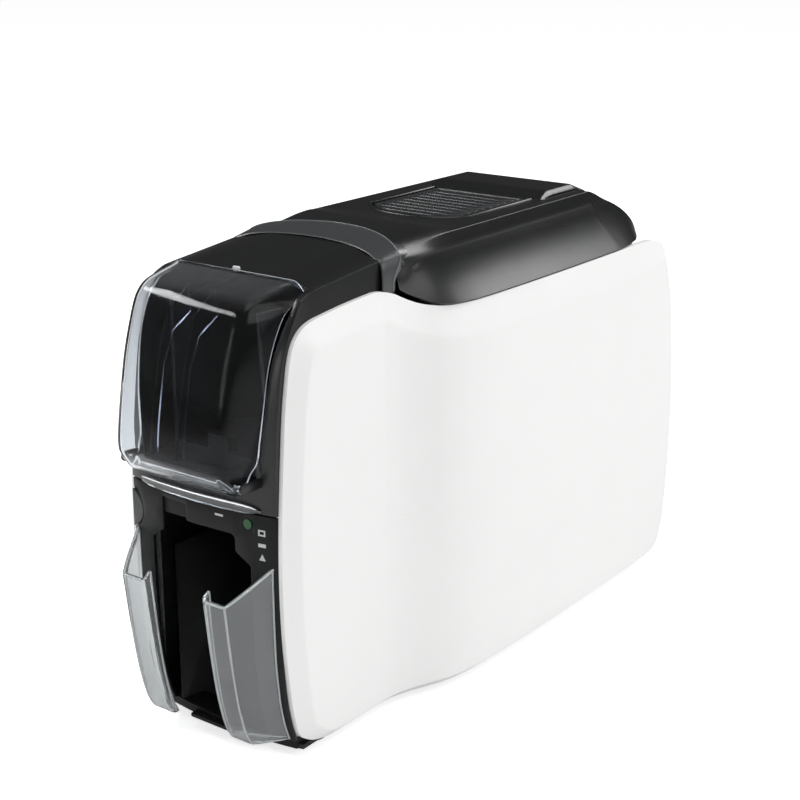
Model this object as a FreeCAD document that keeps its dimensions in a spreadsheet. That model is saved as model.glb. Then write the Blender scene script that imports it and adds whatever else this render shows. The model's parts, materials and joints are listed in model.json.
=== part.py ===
# Desktop card printer: white waved side panels round a black core, a clear feeder door over
# a stack of cards, clear output guards below it, and a top cover hinged at the rear.
# X runs to the right seen from the front, Y runs to the rear, Z runs up. The origin is at the
# middle of the footprint, on the surface that the rubber feet stand on. Lengths are in mm.
import FreeCAD, Part
import math
import os
import Sketcher

Vector = FreeCAD.Vector
doc = FreeCAD.newDocument("card_printer")

# The driving dimensions. Distances named ..._back are measured to the rear from the plane
# that the side panels' front edges almost touch. Heights are measured from the standing
# surface, but those named ..._above_path and ..._below_path from the card path. Those named
# ..._inset are measured across from the widest place at the rear.
DIMENSIONS = {
    # whole machine
    "body_depth": 367.6,
    "path_height": 147.6,
    "door_reach": 21.8,
    "panel_side_gap": 0.6,
    "side_room": 30.25,
    "foot_height": 5.0,
    "foot_radius": 7.0,
    "front_feet_back": 40.0,
    "rear_feet_back": 325.0,
    "rear_feet_inset": 19.75,
    "sheet_wall": 1.5,
    "shell_wall": 2.5,
    "clear_wall": 2.0,
    "seat_gap": 0.3,
    "running_gap": 0.05,
    "overrun": 20.0,
    # white side panels
    "panel_front_top_above_path": 85.4,
    "panel_rear_top_above_path": 71.4,
    "bevel_inset": 5.0,
    "bevel_front_width": 11.5,
    "bevel_front_drop": 15.4,
    "bevel_rear_drop": 26.0,
    "panel_lip": 1.7,
    "nose_back": 3.5,
    "nose_height_below_path": 49.6,
    "toe_back": 13.9,
    "toe_height": 16.2,
    "sole_back": 34.0,
    "brow_back": 10.9,
    "brow_height_above_path": 57.1,
    "brow_corner": 16.5,
    "brow_drop": 3.6,
    "wave_back": 80.0,
    "wave_length": 150.0,
    "heel_height": 18.6,
    "heel_back": 359.6,
    "heel_corner": 13.0,
    "tail_height": 95.0,
    "shoulder_back": 360.1,
    "shoulder_height_above_path": 27.9,
    "crown_back": 350.8,
    "crown_height_above_path": 61.9,
    "crown_corner": 20.0,
    # front bezel and feeder housing
    "core_half_width": 48.4,
    "face_back": 3.0,
    "face_bow": 5.0,
    "chin_back": 13.0,
    "chin_height": 12.0,
    "cheek_back": 5.8,
    "cheek_height": 39.0,
    "seam_height_below_path": 10.6,
    "seam_gap": 0.4,
    "temple_back": 7.9,
    "temple_height_above_path": 57.4,
    "forehead_back": 13.4,
    "forehead_height_above_path": 73.4,
    "hairline_back": 30.0,
    "housing_front_top_above_path": 98.2,
    "housing_rear_top_above_path": 104.6,
    "housing_back": 98.0,
    "facet_front_half_width": 33.5,
    "facet_rear_half_width": 27.0,
    "facet_drop": 3.4,
    # card mouth in the bezel
    "mouth_half_width": 33.0,
    "throat_half_width": 24.2,
    "mouth_top_below_path": 38.6,
    "throat_bottom_below_path": 32.6,
    "throat_top_below_path": 23.6,
    "notch_inner": 7.0,
    # clear light bar, status lens and power button
    "bar_half_width": 40.5,
    "bar_height": 4.6,
    "bar_depth": 2.8,
    "bar_bottom_below_path": 10.2,
    "lens_radius": 2.6,
    "lens_across": 32.0,
    "lens_height_below_path": 16.6,
    "lens_depth": 3.5,
    "power_across": 52.0,
    "power_height_below_path": 27.1,
    "power_radius": 11.0,
    "power_thickness": 5.0,
    "power_travel": 1.5,
    "power_proud": 1.2,
    # card feeder
    "card_width": 54.0,
    "card_length": 85.6,
    "card_slack": 0.7,
    "hopper_back": 6.0,
    "hopper_guide_back": 16.0,
    "hopper_top_above_path": 84.4,
    "gate_gap": 1.6,
    "hopper_slot_half_width": 14.0,
    "weight_height": 9.0,
    "weight_half_width": 26.0,
    "weight_front_back": 16.0,
    "weight_rear_back": 84.0,
    "weight_lift": 0.8,
    "weight_grip_height": 8.0,
    "weight_grip_depth": 6.0,
    "weight_grip_half_width": 7.0,
    # feeder door
    "door_bottom_above_path": 0.4,
    "door_height": 99.4,
    "door_half_width": 33.0,
    "door_rear_half_width": 46.0,
    "door_top_back": 33.0,
    "door_pivot_ahead": 10.0,
    "door_pivot_height_above_path": 5.9,
    "door_pin_radius": 1.6,
    "door_ear_width": 3.0,
    "door_ear_radius": 3.4,
    "fin_half_spacing": 10.0,
    "fin_width": 1.6,
    "fin_depth": 17.0,
    # output guards and bin
    "guard_outer_front": 33.2,
    "guard_inner_front": 19.0,
    "guard_outer_rear": 46.6,
    "guard_lip": 6.0,
    "guard_bottom": 13.6,
    "guard_top_below_path": 37.0,
    "guard_reach": 21.6,
    "guard_front_top_below_path": 52.6,
    "bin_half_width": 29.0,
    "bin_floor": 9.5,
    "bin_top_below_path": 47.6,
    "bin_back": 69.0,
    "bin_lip_half_width": 18.0,
    # inner frame
    "frame_half_span": 44.0,
    "frame_front_back": 16.0,
    "frame_rear_back": 330.0,
    "frame_step_back": 98.0,
    "frame_top_above_path": 56.4,
    "rod_radius": 3.0,
    "low_rod_back": 125.0,
    "low_rod_height": 60.0,
    "rear_rod_back": 300.0,
    "rear_rod_height": 60.0,
    "high_rod_back": 300.0,
    "high_rod_height_above_path": 32.4,
    "latch_bar_back": 216.0,
    "latch_bar_height_above_path": 49.4,
    # card transport
    "shaft_radius": 3.0,
    "pick_back": 48.0,
    "pick_radius": 11.0,
    "pick_half_width": 12.0,
    "pick_proud": 0.5,
    "cleaner_back": 106.0,
    "cleaner_radius": 6.0,
    "card_room": 1.0,
    "platen_back": 155.0,
    "platen_radius": 8.0,
    "platen_half_width": 29.0,
    "deck_front_back": 168.0,
    "deck_pivot_back": 268.0,
    "deck_pivot_height_below_path": 4.6,
    "deck_half_width": 39.0,
    "deck_wall": 1.6,
    "deck_top_above_path": 4.4,
    "deck_bottom_below_path": 15.1,
    "deck_roller_radius": 6.0,
    "deck_roller_half_width": 24.0,
    "deck_shaft_radius": 2.5,
    "deck_front_roller_back": 181.0,
    "deck_rear_roller_back": 247.0,
    "exit_height_below_path": 43.6,
    "exit_roller_back": 81.0,
    "exit_roller_radius": 6.5,
    "exit_roller_half_width": 12.0,
    "chute_front_back": 72.0,
    # motor, gears and belt
    "motor_size": 42.0,
    "motor_length": 30.0,
    "motor_back": 214.0,
    "motor_height": 60.0,
    "gear_module": 1.0,
    "gear_width": 5.0,
    "gear_stand_off": 1.5,
    "tooth_slack": 0.12,
    "drive_pulley_radius": 8.0,
    "platen_pulley_radius": 10.0,
    "belt_width": 5.0,
    "belt_thickness": 1.4,
    "pulley_flange": 1.0,
    # ribbon cartridge and print head
    "supply_back": 112.0,
    "takeup_back": 183.0,
    "spool_height_above_path": 34.4,
    "supply_radius": 14.5,
    "takeup_radius": 11.0,
    "spool_half_width": 28.0,
    "spool_shaft_radius": 3.0,
    "cartridge_half_width": 35.0,
    "cartridge_rear_back": 199.0,
    "cartridge_bottom_above_path": 12.4,
    "cartridge_flange": 9.0,
    "cartridge_bar": 5.0,
    "film_thickness": 0.3,
    "film_level_above_path": 1.2,
    "film_half_width": 27.0,
    "head_thickness": 6.0,
    "head_depth": 14.0,
    "head_half_width": 30.0,
    "head_level_above_path": 1.8,
    "sink_height": 30.0,
    "sink_fin": 2.0,
    "sink_slot": 2.0,
    "head_post_radius": 4.0,
    "head_spring_radius": 3.6,
    "head_spring_wire": 0.9,
    "head_spring_length": 12.0,
    "head_spring_across": 18.0,
    # deck under the cover and rear panel
    "deck_plate": 2.5,
    "bay_half_width": 40.0,
    "bay_rear_back": 262.0,
    "inner_deck_back": 342.5,
    "ear_width": 4.5,
    "ear_half_span": 45.0,
    "ear_half_depth": 6.0,
    "rear_top_back": 349.2,
    "rear_top_height_above_path": 63.4,
    "hinge_back": 331.0,
    "hinge_height_above_path": 67.9,
    "hinge_pin_radius": 3.0,
    "hinge_arm_width": 4.0,
    "hinge_arm_radius": 6.5,
    "rear_wall_inset": 2.6,
    # top cover
    "cover_front_back": 99.0,
    "cover_top_above_path": 104.8,
    "cover_edge_half_width": 46.0,
    "cover_crease_half_width": 51.0,
    "cover_crease_height_above_path": 98.0,
    "cover_skirt_gap": 1.0,
    "cover_skirt_inset": 0.4,
    "cover_rear_back": 341.5,
    "cover_rear_half_width": 54.0,
    "cover_corner_back": 292.0,
    "collar_front_back": 85.0,
    "collar_bulge": 10.0,
    "collar_band": 15.0,
    "collar_thickness": 1.8,
    "collar_half_width": 49.8,
    "collar_gap": 0.5,
    "collar_foot_above_path": 83.9,
    "cap_front_back": 250.0,
    "cap_crease_back": 254.5,
    "cap_top_back": 261.0,
    "cap_rear_back": 289.0,
    "cap_crease_height_above_path": 106.8,
    "cap_top_above_path": 108.4,
    "cap_half_width": 41.0,
    "cap_top_half_width": 37.5,
    "hood_half_width": 45.4,
    "hood_top_half_width": 43.0,
    "hood_crest_back": 146.0,
    "hood_rear_back": 160.0,
    "hood_top_above_path": 106.9,
    "cover_plate_height_above_path": 81.9,
    "cover_plate_thickness": 2.0,
    "cover_plate_front_back": 112.0,
    "cover_plate_rear_back": 312.0,
    "cover_plate_half_width": 44.0,
    "cover_post_radius": 4.0,
    "cover_post_across": 38.5,
    "cover_front_post_back": 128.0,
    "cover_rear_post_back": 280.0,
    # release button and latch
    "button_half_width": 31.0,
    "button_front_back": 171.0,
    "button_cheek_back": 184.5,
    "button_rear_back": 246.5,
    "button_top_above_path": 102.0,
    "button_thickness": 6.5,
    "button_clearance": 1.5,
    "button_rim": 4.0,
    "button_dish": 1.4,
    "rib_pitch": 7.6,
    "rib_width": 2.4,
    "spring_radius": 5.0,
    "spring_wire": 1.1,
    "spring_across": 17.0,
    "spring_back": 236.0,
    "hook_half_width": 5.0,
    "hook_pivot_back": 224.5,
    "hook_pivot_height_above_path": 74.9,
    "hook_pin_radius": 2.0,
    "hook_arm": 6.0,
    "hook_barb": 3.6,
    "hook_barb_height": 5.5,
    "lever_reach": 14.0,
    "lever_height": 5.0,
    "lug_width": 2.0,
    # electronics at the rear
    "board_half_length": 70.0,
    "board_back": 235.0,
    "board_bottom": 30.0,
    "board_top": 125.0,
    "board_across": 58.0,
    "board_thickness": 1.6,
    "chip_thickness": 2.5,
    "stud_radius": 3.0,
    "socket_depth": 16.0,
    "socket_wall": 1.5,
    "socket_cavity": 11.0,
    "inlet_width": 15.0,
    "inlet_height": 14.0,
    "inlet_inset": 25.75,
    "usb_width": 12.0,
    "usb_height": 11.0,
    "usb_inset": 53.75,
    "network_width": 16.0,
    "network_height": 14.0,
    "network_inset": 29.75,
    "socket_level": 66.0,
    "fan_size": 40.0,
    "fan_thickness": 10.0,
    "fan_bore": 18.5,
    "fan_hub": 8.0,
    "fan_tip_gap": 0.8,
    "fan_level": 120.0,
    "fan_inset": 45.75,
    "blade_thickness": 1.2,
    "vent_width": 2.6,
    "vent_pitch": 5.6,
    "screw_radius": 3.0,
    "screw_head": 2.0,
    "screw_inset": 15.75,
}

WAVE_SHARES = (
    # share of the wave's length, share of the widening, share of the top edge's fall
    (0.0, 0.0, 0.0),
    (0.067, 0.065, 0.17),
    (0.113, 0.165, 0.42),
    (0.153, 0.27, 0.62),
    (0.193, 0.405, 0.77),
    (0.23, 0.54, 0.87),
    (0.273, 0.66, 0.94),
    (0.32, 0.755, 0.98),
    (0.427, 0.872, 1.0),
    (0.553, 0.928, 1.0),
    (0.767, 0.972, 1.0),
    (1.0, 1.0, 1.0),
)
DOOR_SHARES = (
    # front corner: share of the width, of the reach ahead of the face, of the height;
    # rear rim: share of the rear width, of the way back to the top edge, of the height
    (1.0, -0.42, 0.0, 0.75, -0.22, 0.0),
    (1.0, -0.62, 0.035, 0.765, -0.2, 0.03),
    (0.985, -0.93, 0.108, 0.79, -0.03, 0.11),
    (0.97, -1.0, 0.17, 0.815, 0.09, 0.19),
    (0.955, -0.89, 0.362, 0.885, 0.115, 0.385),
    (0.925, -0.58, 0.594, 0.92, 0.23, 0.575),
    (0.88, -0.2, 0.745, 0.935, 0.37, 0.725),
    (0.85, 0.12, 0.855, 0.955, 0.55, 0.845),
    (0.87, 0.42, 0.93, 0.975, 0.75, 0.9),
    (1.0, 1.0, 1.0, 1.0, 1.0, 0.935),
)
GUARD_SHARES = (
    # share of the guard's height, share of its reach at that height
    (0.0, 0.2),
    (0.17, 0.51),
    (0.42, 0.73),
    (0.66, 0.88),
    (0.85, 0.97),
    (1.0, 1.0),
)
PINION_TEETH = 12
GEAR_TEETH = 48
TOOTH_SHARES = (1.0, 1.15)
CURVE_DEGREE = 3
BOW_SHARES = (-1, -0.5, 0, 0.5, 1)
PRESSURE_ANGLE = 20
FLANK_POINTS = 5
BLADE_PITCH = 35
SINK_SLOTS = 3
COVER_CORNER_SHARES = ((0.35, 0.1), (0.65, 0.4), (0.85, 0.75), (1.0, 1.0))
COVER_TAIL_SHARES = ((0.0, 0.0), (0.25, 0.17), (0.55, 0.42), (0.78, 0.66), (1.0, 0.98))
CHIP_SHARES = (
    # share of half the board's length and of its height, then the chip's own shares
    (-0.8, 0.15, 0.3, 0.3),
    (-0.1, 0.4, 0.35, 0.35),
    (0.5, 0.2, 0.25, 0.2),
    (0.55, 0.6, 0.3, 0.2),
    (-0.7, 0.65, 0.2, 0.2),
)
FAN_BLADES = 7
VENT_COUNT = 7
RIB_COUNT = 9
SPRING_TURNS = 5


class Size:
    """A length from the sheet: its value now and the expression that works it out."""

    def __init__(self, value, text):
        self.value = value
        self.text = text

    def __float__(self):
        return float(self.value)

    def __neg__(self):
        return Size(-self.value, f"(-{self.text})")

    def __add__(self, other):
        other = as_size(other)
        return Size(self.value + other.value, f"({self.text} + {other.text})")

    def __sub__(self, other):
        other = as_size(other)
        return Size(self.value - other.value, f"({self.text} - {other.text})")

    def __mul__(self, factor):
        return Size(self.value * factor, f"({self.text} * {factor!r})")

    def __truediv__(self, factor):
        return Size(self.value / factor, f"({self.text} / {factor!r})")

    __radd__ = __add__
    __rmul__ = __mul__


def as_size(item):
    return item if isinstance(item, Size) else Size(item, repr(item))


def make_sheet():
    sheet = doc.addObject("Spreadsheet::Sheet", "dims")
    for row, (alias, value) in enumerate(DIMENSIONS.items(), start=1):
        sheet.set(f"A{row}", alias)
        sheet.set(f"B{row}", str(value))
        sheet.setAlias(f"B{row}", alias)
    doc.recompute()
    return sheet


SHEET = make_sheet()


def size(alias):
    return Size(float(getattr(SHEET, alias)), f"dims.{alias}")


class Sizes:
    """Each alias of the sheet as an attribute."""


L = Sizes()
for alias in DIMENSIONS:
    setattr(L, alias, size(alias))
    if alias.endswith("_above_path"):
        setattr(L, alias.removesuffix("_above_path"), size("path_height") + size(alias))
    if alias.endswith("_below_path"):
        setattr(L, alias.removesuffix("_below_path"), size("path_height") - size(alias))

# Sizes that follow from others.
L.front_half_width = L.core_half_width + L.bevel_inset + L.panel_lip + L.panel_side_gap
L.rear_half_width = L.frame_half_span + L.sheet_wall + L.side_room
L.rear_feet_half_span = L.rear_half_width - L.rear_feet_inset
L.inlet_across = -(L.rear_half_width - L.inlet_inset)
L.usb_across = L.rear_half_width - L.usb_inset
L.network_across = L.rear_half_width - L.network_inset
L.fan_across = -(L.rear_half_width - L.fan_inset)
L.screw_across = L.rear_half_width - L.screw_inset
L.guard_height = L.guard_top - L.guard_bottom

FRONT = (L.door_reach - L.body_depth) / 2
NODES = []


def back(distance):
    """The Y coordinate of a place that lies this far behind the front plane."""
    return FRONT + distance


def point(x, y, z):
    return Vector(float(x), float(y), float(z))


def node(item):
    """List an object as one of the printer's pieces; its label names its file."""
    NODES.append(item)
    return item


def bind(item, **expressions):
    for path, value in expressions.items():
        item.setExpression(path.replace("__", "."), as_size(value).text)


def place(item, x, y, z):
    bind(item, Placement__Base__x=x, Placement__Base__y=y, Placement__Base__z=z)


def box(label, x, y, z):
    """A block between the low and high places given for each direction."""
    item = doc.addObject("Part::Box", label)
    bind(item, Length=x[1] - x[0], Width=y[1] - y[0], Height=z[1] - z[0])
    place(item, x[0], y[0], z[0])
    return item


TURNS = {
    "X": FreeCAD.Rotation(Vector(0, 1, 0), 90),
    "Y": FreeCAD.Rotation(Vector(1, 0, 0), -90),
    "Z": FreeCAD.Rotation(),
}


def rod(label, axis, low, high, centre, radius):
    """A cylinder along an axis from low to high; centre gives the other two coordinates."""
    item = doc.addObject("Part::Cylinder", label)
    item.Placement = FreeCAD.Placement(Vector(), TURNS[axis])
    bind(item, Radius=radius, Height=high - low)
    start = list(centre)
    start.insert("XYZ".index(axis), low)
    place(item, *start)
    return item


def fuse(label, *pieces):
    item = doc.addObject("Part::MultiFuse", label)
    item.Shapes = list(pieces)
    item.Refine = True
    return item


def group(label, *pieces):
    """Identical separate solids kept together as one node."""
    item = doc.addObject("Part::Compound", label)
    item.Links = list(pieces)
    return item


def cut(label, base, *tools):
    item = doc.addObject("Part::Cut", label)
    item.Base = base
    item.Tool = tools[0] if len(tools) == 1 else fuse(label + "_tools", *tools)
    item.Refine = True
    return item


def common(label, first, second):
    item = doc.addObject("Part::Common", label)
    item.Base = first
    item.Tool = second
    return item


def mirrored(label, source):
    """The same piece on the other side of the machine's middle plane."""
    item = doc.addObject("Part::Mirroring", label)
    item.Source = source
    item.Normal = Vector(1, 0, 0)
    item.Base = Vector()
    return item


def formed(label, shape):
    """A piece whose shape is lofted or wound from the sheet's sizes."""
    item = doc.addObject("Part::Feature", label)
    item.Shape = shape
    return item


def draw_loop(sketch, outline):
    """Closed straight-sided loop whose corners are bound to the sheet."""
    corners = [Vector(float(u), float(v), 0) for u, v in outline]
    count = len(corners)
    first = sketch.GeometryCount
    for index in range(count):
        sketch.addGeometry(Part.LineSegment(corners[index], corners[(index + 1) % count]))
    for index in range(count):
        after = first + (index + 1) % count
        sketch.addConstraint(Sketcher.Constraint("Coincident", first + index, 2, after, 1))
    for index, (u, v) in enumerate(outline):
        pin_point(sketch, first + index, 1, u, v)


def pin_point(sketch, geometry, end, u, v):
    for kind, place_value in (("DistanceX", u), ("DistanceY", v)):
        value = as_size(place_value)
        rule = Sketcher.Constraint(kind, -1, 1, geometry, end, value.value)
        number = sketch.addConstraint(rule)
        sketch.setExpression(f"Constraints[{number}]", value.text)


def draw_circle(sketch, u, v, radius):
    centre = Vector(float(u), float(v), 0)
    geometry = sketch.addGeometry(Part.Circle(centre, Vector(0, 0, 1), float(radius)))
    number = sketch.addConstraint(Sketcher.Constraint("Radius", geometry, float(radius)))
    sketch.setExpression(f"Constraints[{number}]", as_size(radius).text)
    pin_point(sketch, geometry, 3, u, v)


def plate(label, plane, low, high, outline, cutouts=(), circles=()):
    """A sketch on a plane of the frame, padded from low to high along the plane's normal."""
    body = doc.addObject("PartDesign::Body", label)
    sketch = body.newObject("Sketcher::SketchObject", label + "_outline")
    origin = [item for item in body.Origin.OriginFeatures if item.Role == plane + "_Plane"]
    sketch.AttachmentSupport = [(origin[0], "")]
    sketch.MapMode = "FlatFace"
    start = -high if plane == "XZ" else low
    sketch.setExpression("AttachmentOffset.Base.z", as_size(start).text)
    for loop in (outline, *cutouts):
        draw_loop(sketch, loop)
    for u, v, radius in circles:
        draw_circle(sketch, u, v, radius)
    pad = body.newObject("PartDesign::Pad", label + "_pad")
    pad.Profile = sketch
    pad.setExpression("Length", as_size(high - low).text)
    return body


def rectangle(u, v):
    return [(u[0], v[0]), (u[1], v[0]), (u[1], v[1]), (u[0], v[1])]


def both_sides(half):
    """A span from minus half to plus half."""
    return (-half, half)


def wire(points):
    corners = [point(*place_values) for place_values in points]
    return Part.makePolygon(corners + corners[:1])


def skin(sections):
    """A solid whose corner lines run smoothly through the sections, one after the other."""
    rails = []
    for corners in zip(*sections):
        curve = Part.BSplineCurve()
        curve.buildFromPoles([point(*corner) for corner in corners], False, CURVE_DEGREE)
        rails.append(curve.toShape())
    return solid_between(rails, sections)


def solid_between(rails, sections):
    """Ruled faces from each rail to the next, closed by the first and last sections."""
    faces = [Part.makeRuledSurface(rails[index - 1], rails[index]) for index in range(len(rails))]
    faces += [Part.Face(wire(sections[0])), Part.Face(wire(sections[-1]))]
    shell = Part.makeShell(faces)
    shell.sewShape()
    solid = Part.makeSolid(shell)
    if solid.Volume < 0:
        solid.reverse()
    return solid


def arc(start, through, end):
    return Part.Arc(point(*start), point(*through), point(*end)).toShape()


def line(start, end):
    return Part.LineSegment(point(*start), point(*end)).toShape()


def wave_stations():
    """Distance back, half width and top-edge height of a side panel along its wave."""
    stations = []
    for along, wider, fallen in WAVE_SHARES:
        distance = L.wave_back + L.wave_length * along
        half = L.front_half_width + (L.rear_half_width - L.front_half_width) * wider
        top = L.panel_front_top - (L.panel_front_top - L.panel_rear_top) * fallen
        crease = top - L.bevel_front_drop
        crease = crease - (L.bevel_rear_drop - L.bevel_front_drop) * fallen
        stations.append((distance, half, top, crease))
    last = stations[-1]
    stations.append((L.body_depth + L.overrun, *last[1:]))
    return stations


def panel_section(station, inset):
    """Outline across the panel at one station, from the inner foot round to the inner top."""
    distance, half, top, crease = station
    y = back(distance)
    deep = L.bevel_inset + L.panel_lip
    foot = L.foot_height
    if inset:
        deep = deep + L.overrun
        foot = foot + L.shell_wall
        top = top - L.shell_wall
        crease = crease - L.shell_wall / 2
        half = half - L.shell_wall
        deep = deep - L.shell_wall
    return [
        (half - deep, y, foot),
        (half, y, foot),
        (half, y, crease),
        (half - L.bevel_inset, y, top),
        (half - deep, y, top),
    ]


def nose_wire(x, inset, grow):
    """Front outline of the panel in the plane at x: inset shrinks it, grow is for the wall."""
    wall = L.shell_wall if grow else 0
    step = L.bevel_front_width if inset else 0
    drop = L.bevel_front_drop if inset else 0
    rise = L.foot_height + wall
    front = step + wall
    top = drop + wall
    toe = (x, back(L.toe_back + front), L.toe_height)
    sole = (x, back(L.sole_back + front), rise)
    sole_middle = (x, back(L.toe_back + front + (L.sole_back - L.toe_back) * 0.28),
                   rise + (L.toe_height - rise) * 0.36)
    nose = (x, back(L.nose_back + front), L.nose_height)
    brow = (x, back(L.brow_back + front), L.brow_height - top)
    corner_end = (x, back(L.brow_back + front + L.brow_corner), L.panel_front_top - L.brow_drop - top)
    corner_middle = (x, back(L.brow_back + front + L.brow_corner * 0.27),
                     L.panel_front_top - L.brow_drop - top - L.brow_corner * 0.38)
    rear_top = (x, back(L.wave_back), L.panel_front_top - top)
    rear_foot = (x, back(L.wave_back), rise)
    edges = [
        arc(sole, sole_middle, toe),
        arc(toe, nose, brow),
        arc(brow, corner_middle, corner_end),
        line(corner_end, rear_top),
        line(rear_top, rear_foot),
        line(rear_foot, sole),
    ]
    return Part.Wire(edges)


def panel_solid(inner):
    """The panel's outer form, or with inner set the hollow inside its wall."""
    wall = L.shell_wall if inner else 0
    reach = L.overrun if inner else L.panel_lip
    edge_x = L.front_half_width - L.bevel_inset - wall
    crease_x = L.front_half_width - wall
    rim = nose_wire(edge_x, False, inner)
    crease = nose_wire(crease_x, True, inner)
    nose = Part.makeLoft([rim, crease], True, True)
    base = nose_wire(edge_x - reach, False, inner)
    root = Part.Face(base).extrude(Vector(float(reach), 0, 0))
    rear = skin([panel_section(station, inner) for station in wave_stations()])
    return nose.fuse([root, rear]).common(silhouette(wall))


def silhouette(wall):
    """Side outline of the panels' tail, as a prism that trims them."""
    x = -L.overrun
    top = L.panel_front_top + L.overrun
    foot = L.foot_height + wall
    ahead = back(-L.overrun)
    crown_start = (x, back(L.crown_back - L.crown_corner - wall), L.panel_rear_top - wall)
    crown_middle = (x, back(L.crown_back - L.crown_corner * 0.4 - wall),
                    L.panel_rear_top - L.crown_corner * 0.17 - wall)
    crown = (x, back(L.crown_back - wall), L.crown_height - wall)
    shoulder = (x, back(L.shoulder_back - wall), L.shoulder_height)
    tail = (x, back(L.body_depth - wall), L.tail_height)
    heel = (x, back(L.heel_back - wall), L.heel_height)
    heel_middle = (x, back(L.heel_back - L.heel_corner * 0.29 - wall),
                   L.foot_height + L.heel_corner * 0.3 + wall)
    heel_end = (x, back(L.heel_back - L.heel_corner - wall), foot)
    edges = [
        line((x, ahead, foot), (x, ahead, top)),
        line((x, ahead, top), (x, back(L.wave_back), top)),
        line((x, back(L.wave_back), top), (x, back(L.crown_back - L.crown_corner - wall), top)),
        line((x, back(L.crown_back - L.crown_corner - wall), top), crown_start),
        arc(crown_start, crown_middle, crown),
        line(crown, shoulder),
        arc(shoulder, tail, heel),
        arc(heel, heel_middle, heel_end),
        line(heel_end, (x, ahead, foot)),
    ]
    face = Part.Face(Part.Wire(edges))
    return face.extrude(Vector(float(L.rear_half_width + L.overrun * 2), 0, 0))


def side_panels():
    panel = panel_solid(False).cut(panel_solid(True)).removeSplitter()
    right = node(formed("right_side_panel", panel))
    node(mirrored("left_side_panel", right))


def core_half_width_at(station):
    """Half width between the panels' lips, less a seat gap, at one station of the wave."""
    return station[1] - L.bevel_inset - L.panel_lip - L.seat_gap


def plan_outline(start, end):
    """Plan of a plate that fills the space between the side panels from start to end."""
    inside = [item for item in wave_stations() if float(start) < float(item[0]) < float(end)]
    stations = wave_stations()
    ends = []
    for distance in (start, end):
        near = min(stations, key=lambda item: abs(float(item[0]) - float(distance)))
        if float(distance) > float(L.wave_back + L.wave_length):
            near = stations[-1]
        if float(distance) < float(L.wave_back):
            near = stations[0]
        ends.append((distance, *near[1:]))
    half = [(core_half_width_at(item), back(item[0])) for item in [ends[0], *inside, ends[1]]]
    return half + [(-x, y) for x, y in reversed(half)]


def base_tray():
    outline = plan_outline(L.chin_back + L.shell_wall, L.heel_back - L.heel_corner)
    low = L.foot_height
    node(plate("base_tray", "XY", low, low + L.shell_wall, outline))


def rubber_feet():
    feet = []
    for name, across, distance in (
        ("front_left_foot", -L.frame_half_span + L.foot_radius, L.front_feet_back),
        ("front_right_foot", L.frame_half_span - L.foot_radius, L.front_feet_back),
        ("rear_left_foot", -L.rear_feet_half_span, L.rear_feet_back),
        ("rear_right_foot", L.rear_feet_half_span, L.rear_feet_back),
    ):
        feet.append(rod(name, "Z", 0, L.foot_height, (across, back(distance)), L.foot_radius))
    node(group("rubber_feet", *feet))


def face_profile(advance, low, high):
    """Front face of the black core from the side, between two heights, moved ahead by advance."""
    marks = [
        (L.chin_back, L.chin_height),
        (L.cheek_back, L.cheek_height),
        (L.face_back, L.nose_height),
        (L.face_back, L.seam_height),
        (L.temple_back, L.temple_height),
        (L.forehead_back, L.forehead_height),
    ]
    kept = [(distance - advance, height) for distance, height in marks
            if float(low) <= float(height) <= float(high)]
    return kept


def bowed(outline_maker, half_width):
    """Solid between the sides whose front bows ahead at the middle by a smooth arch."""
    sections = []
    for share in BOW_SHARES:
        x = half_width * share
        bow = 1 - (x.value / L.core_half_width.value) ** 2
        sections.append([(x, y, z) for y, z in outline_maker(L.face_bow * bow)])
    return skin_through(sections)


def skin_through(sections):
    """Like skin, but the corner lines pass through every section's corners."""
    rails = []
    for corners in zip(*sections):
        curve = Part.BSplineCurve()
        curve.interpolate([point(*corner) for corner in corners])
        rails.append(curve.toShape())
    return solid_between(rails, sections)


def lower_bezel():
    def outline(bow):
        front = face_profile(bow, L.chin_height, L.seam_height)
        rear = [(distance + L.shell_wall, height) for distance, height in reversed(front)]
        return [(back(distance), height) for distance, height in front + rear]

    shell = formed("bezel_shell", bowed(outline, L.core_half_width))
    ahead = back(-L.overrun)
    behind = back(L.overrun + L.overrun)
    mouth = plate("bezel_mouth", "XZ", ahead, behind, [
        (-L.mouth_half_width, L.foot_height),
        (L.mouth_half_width, L.foot_height),
        (L.mouth_half_width, L.mouth_top),
        (L.throat_half_width, L.throat_bottom),
        (L.throat_half_width, L.throat_top - L.bar_height),
        (L.throat_half_width - L.bar_height, L.throat_top),
        (-L.notch_inner, L.throat_top),
        (-L.notch_inner, L.seam_height + L.overrun),
        (-L.throat_half_width, L.seam_height + L.overrun),
        (-L.throat_half_width, L.throat_bottom),
        (-L.mouth_half_width, L.mouth_top),
    ])
    lens_hole = rod("bezel_lens_hole", "Y", ahead, behind, (L.lens_across, L.lens_height),
                    L.lens_radius + L.seat_gap / 2)
    button_hole = rod("bezel_button_hole", "Y", ahead, behind, (-L.power_across, L.power_height),
                      L.power_radius + L.seat_gap)
    face = cut("bezel_face", shell, mouth, lens_hole, button_hole)
    bridge_front = back(L.face_back + L.shell_wall - L.face_bow)
    bridge = box("bezel_bridge", (-L.throat_half_width - L.shell_wall, -L.notch_inner + L.shell_wall),
                 (bridge_front, bridge_front + L.shell_wall), (L.throat_top, L.seam_height))
    node(fuse("lower_bezel", face, bridge))


def light_bar():
    def outline(bow):
        rear = back(L.face_back - bow - L.seat_gap)
        front = rear - L.bar_depth * min(1, 0.25 + bow.value / L.face_bow.value)
        low = L.bar_bottom
        high = low + L.bar_height
        return [(front, low), (rear, low), (rear, high), (front, high)]

    node(formed("light_bar", bowed(outline, L.bar_half_width)))


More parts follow.
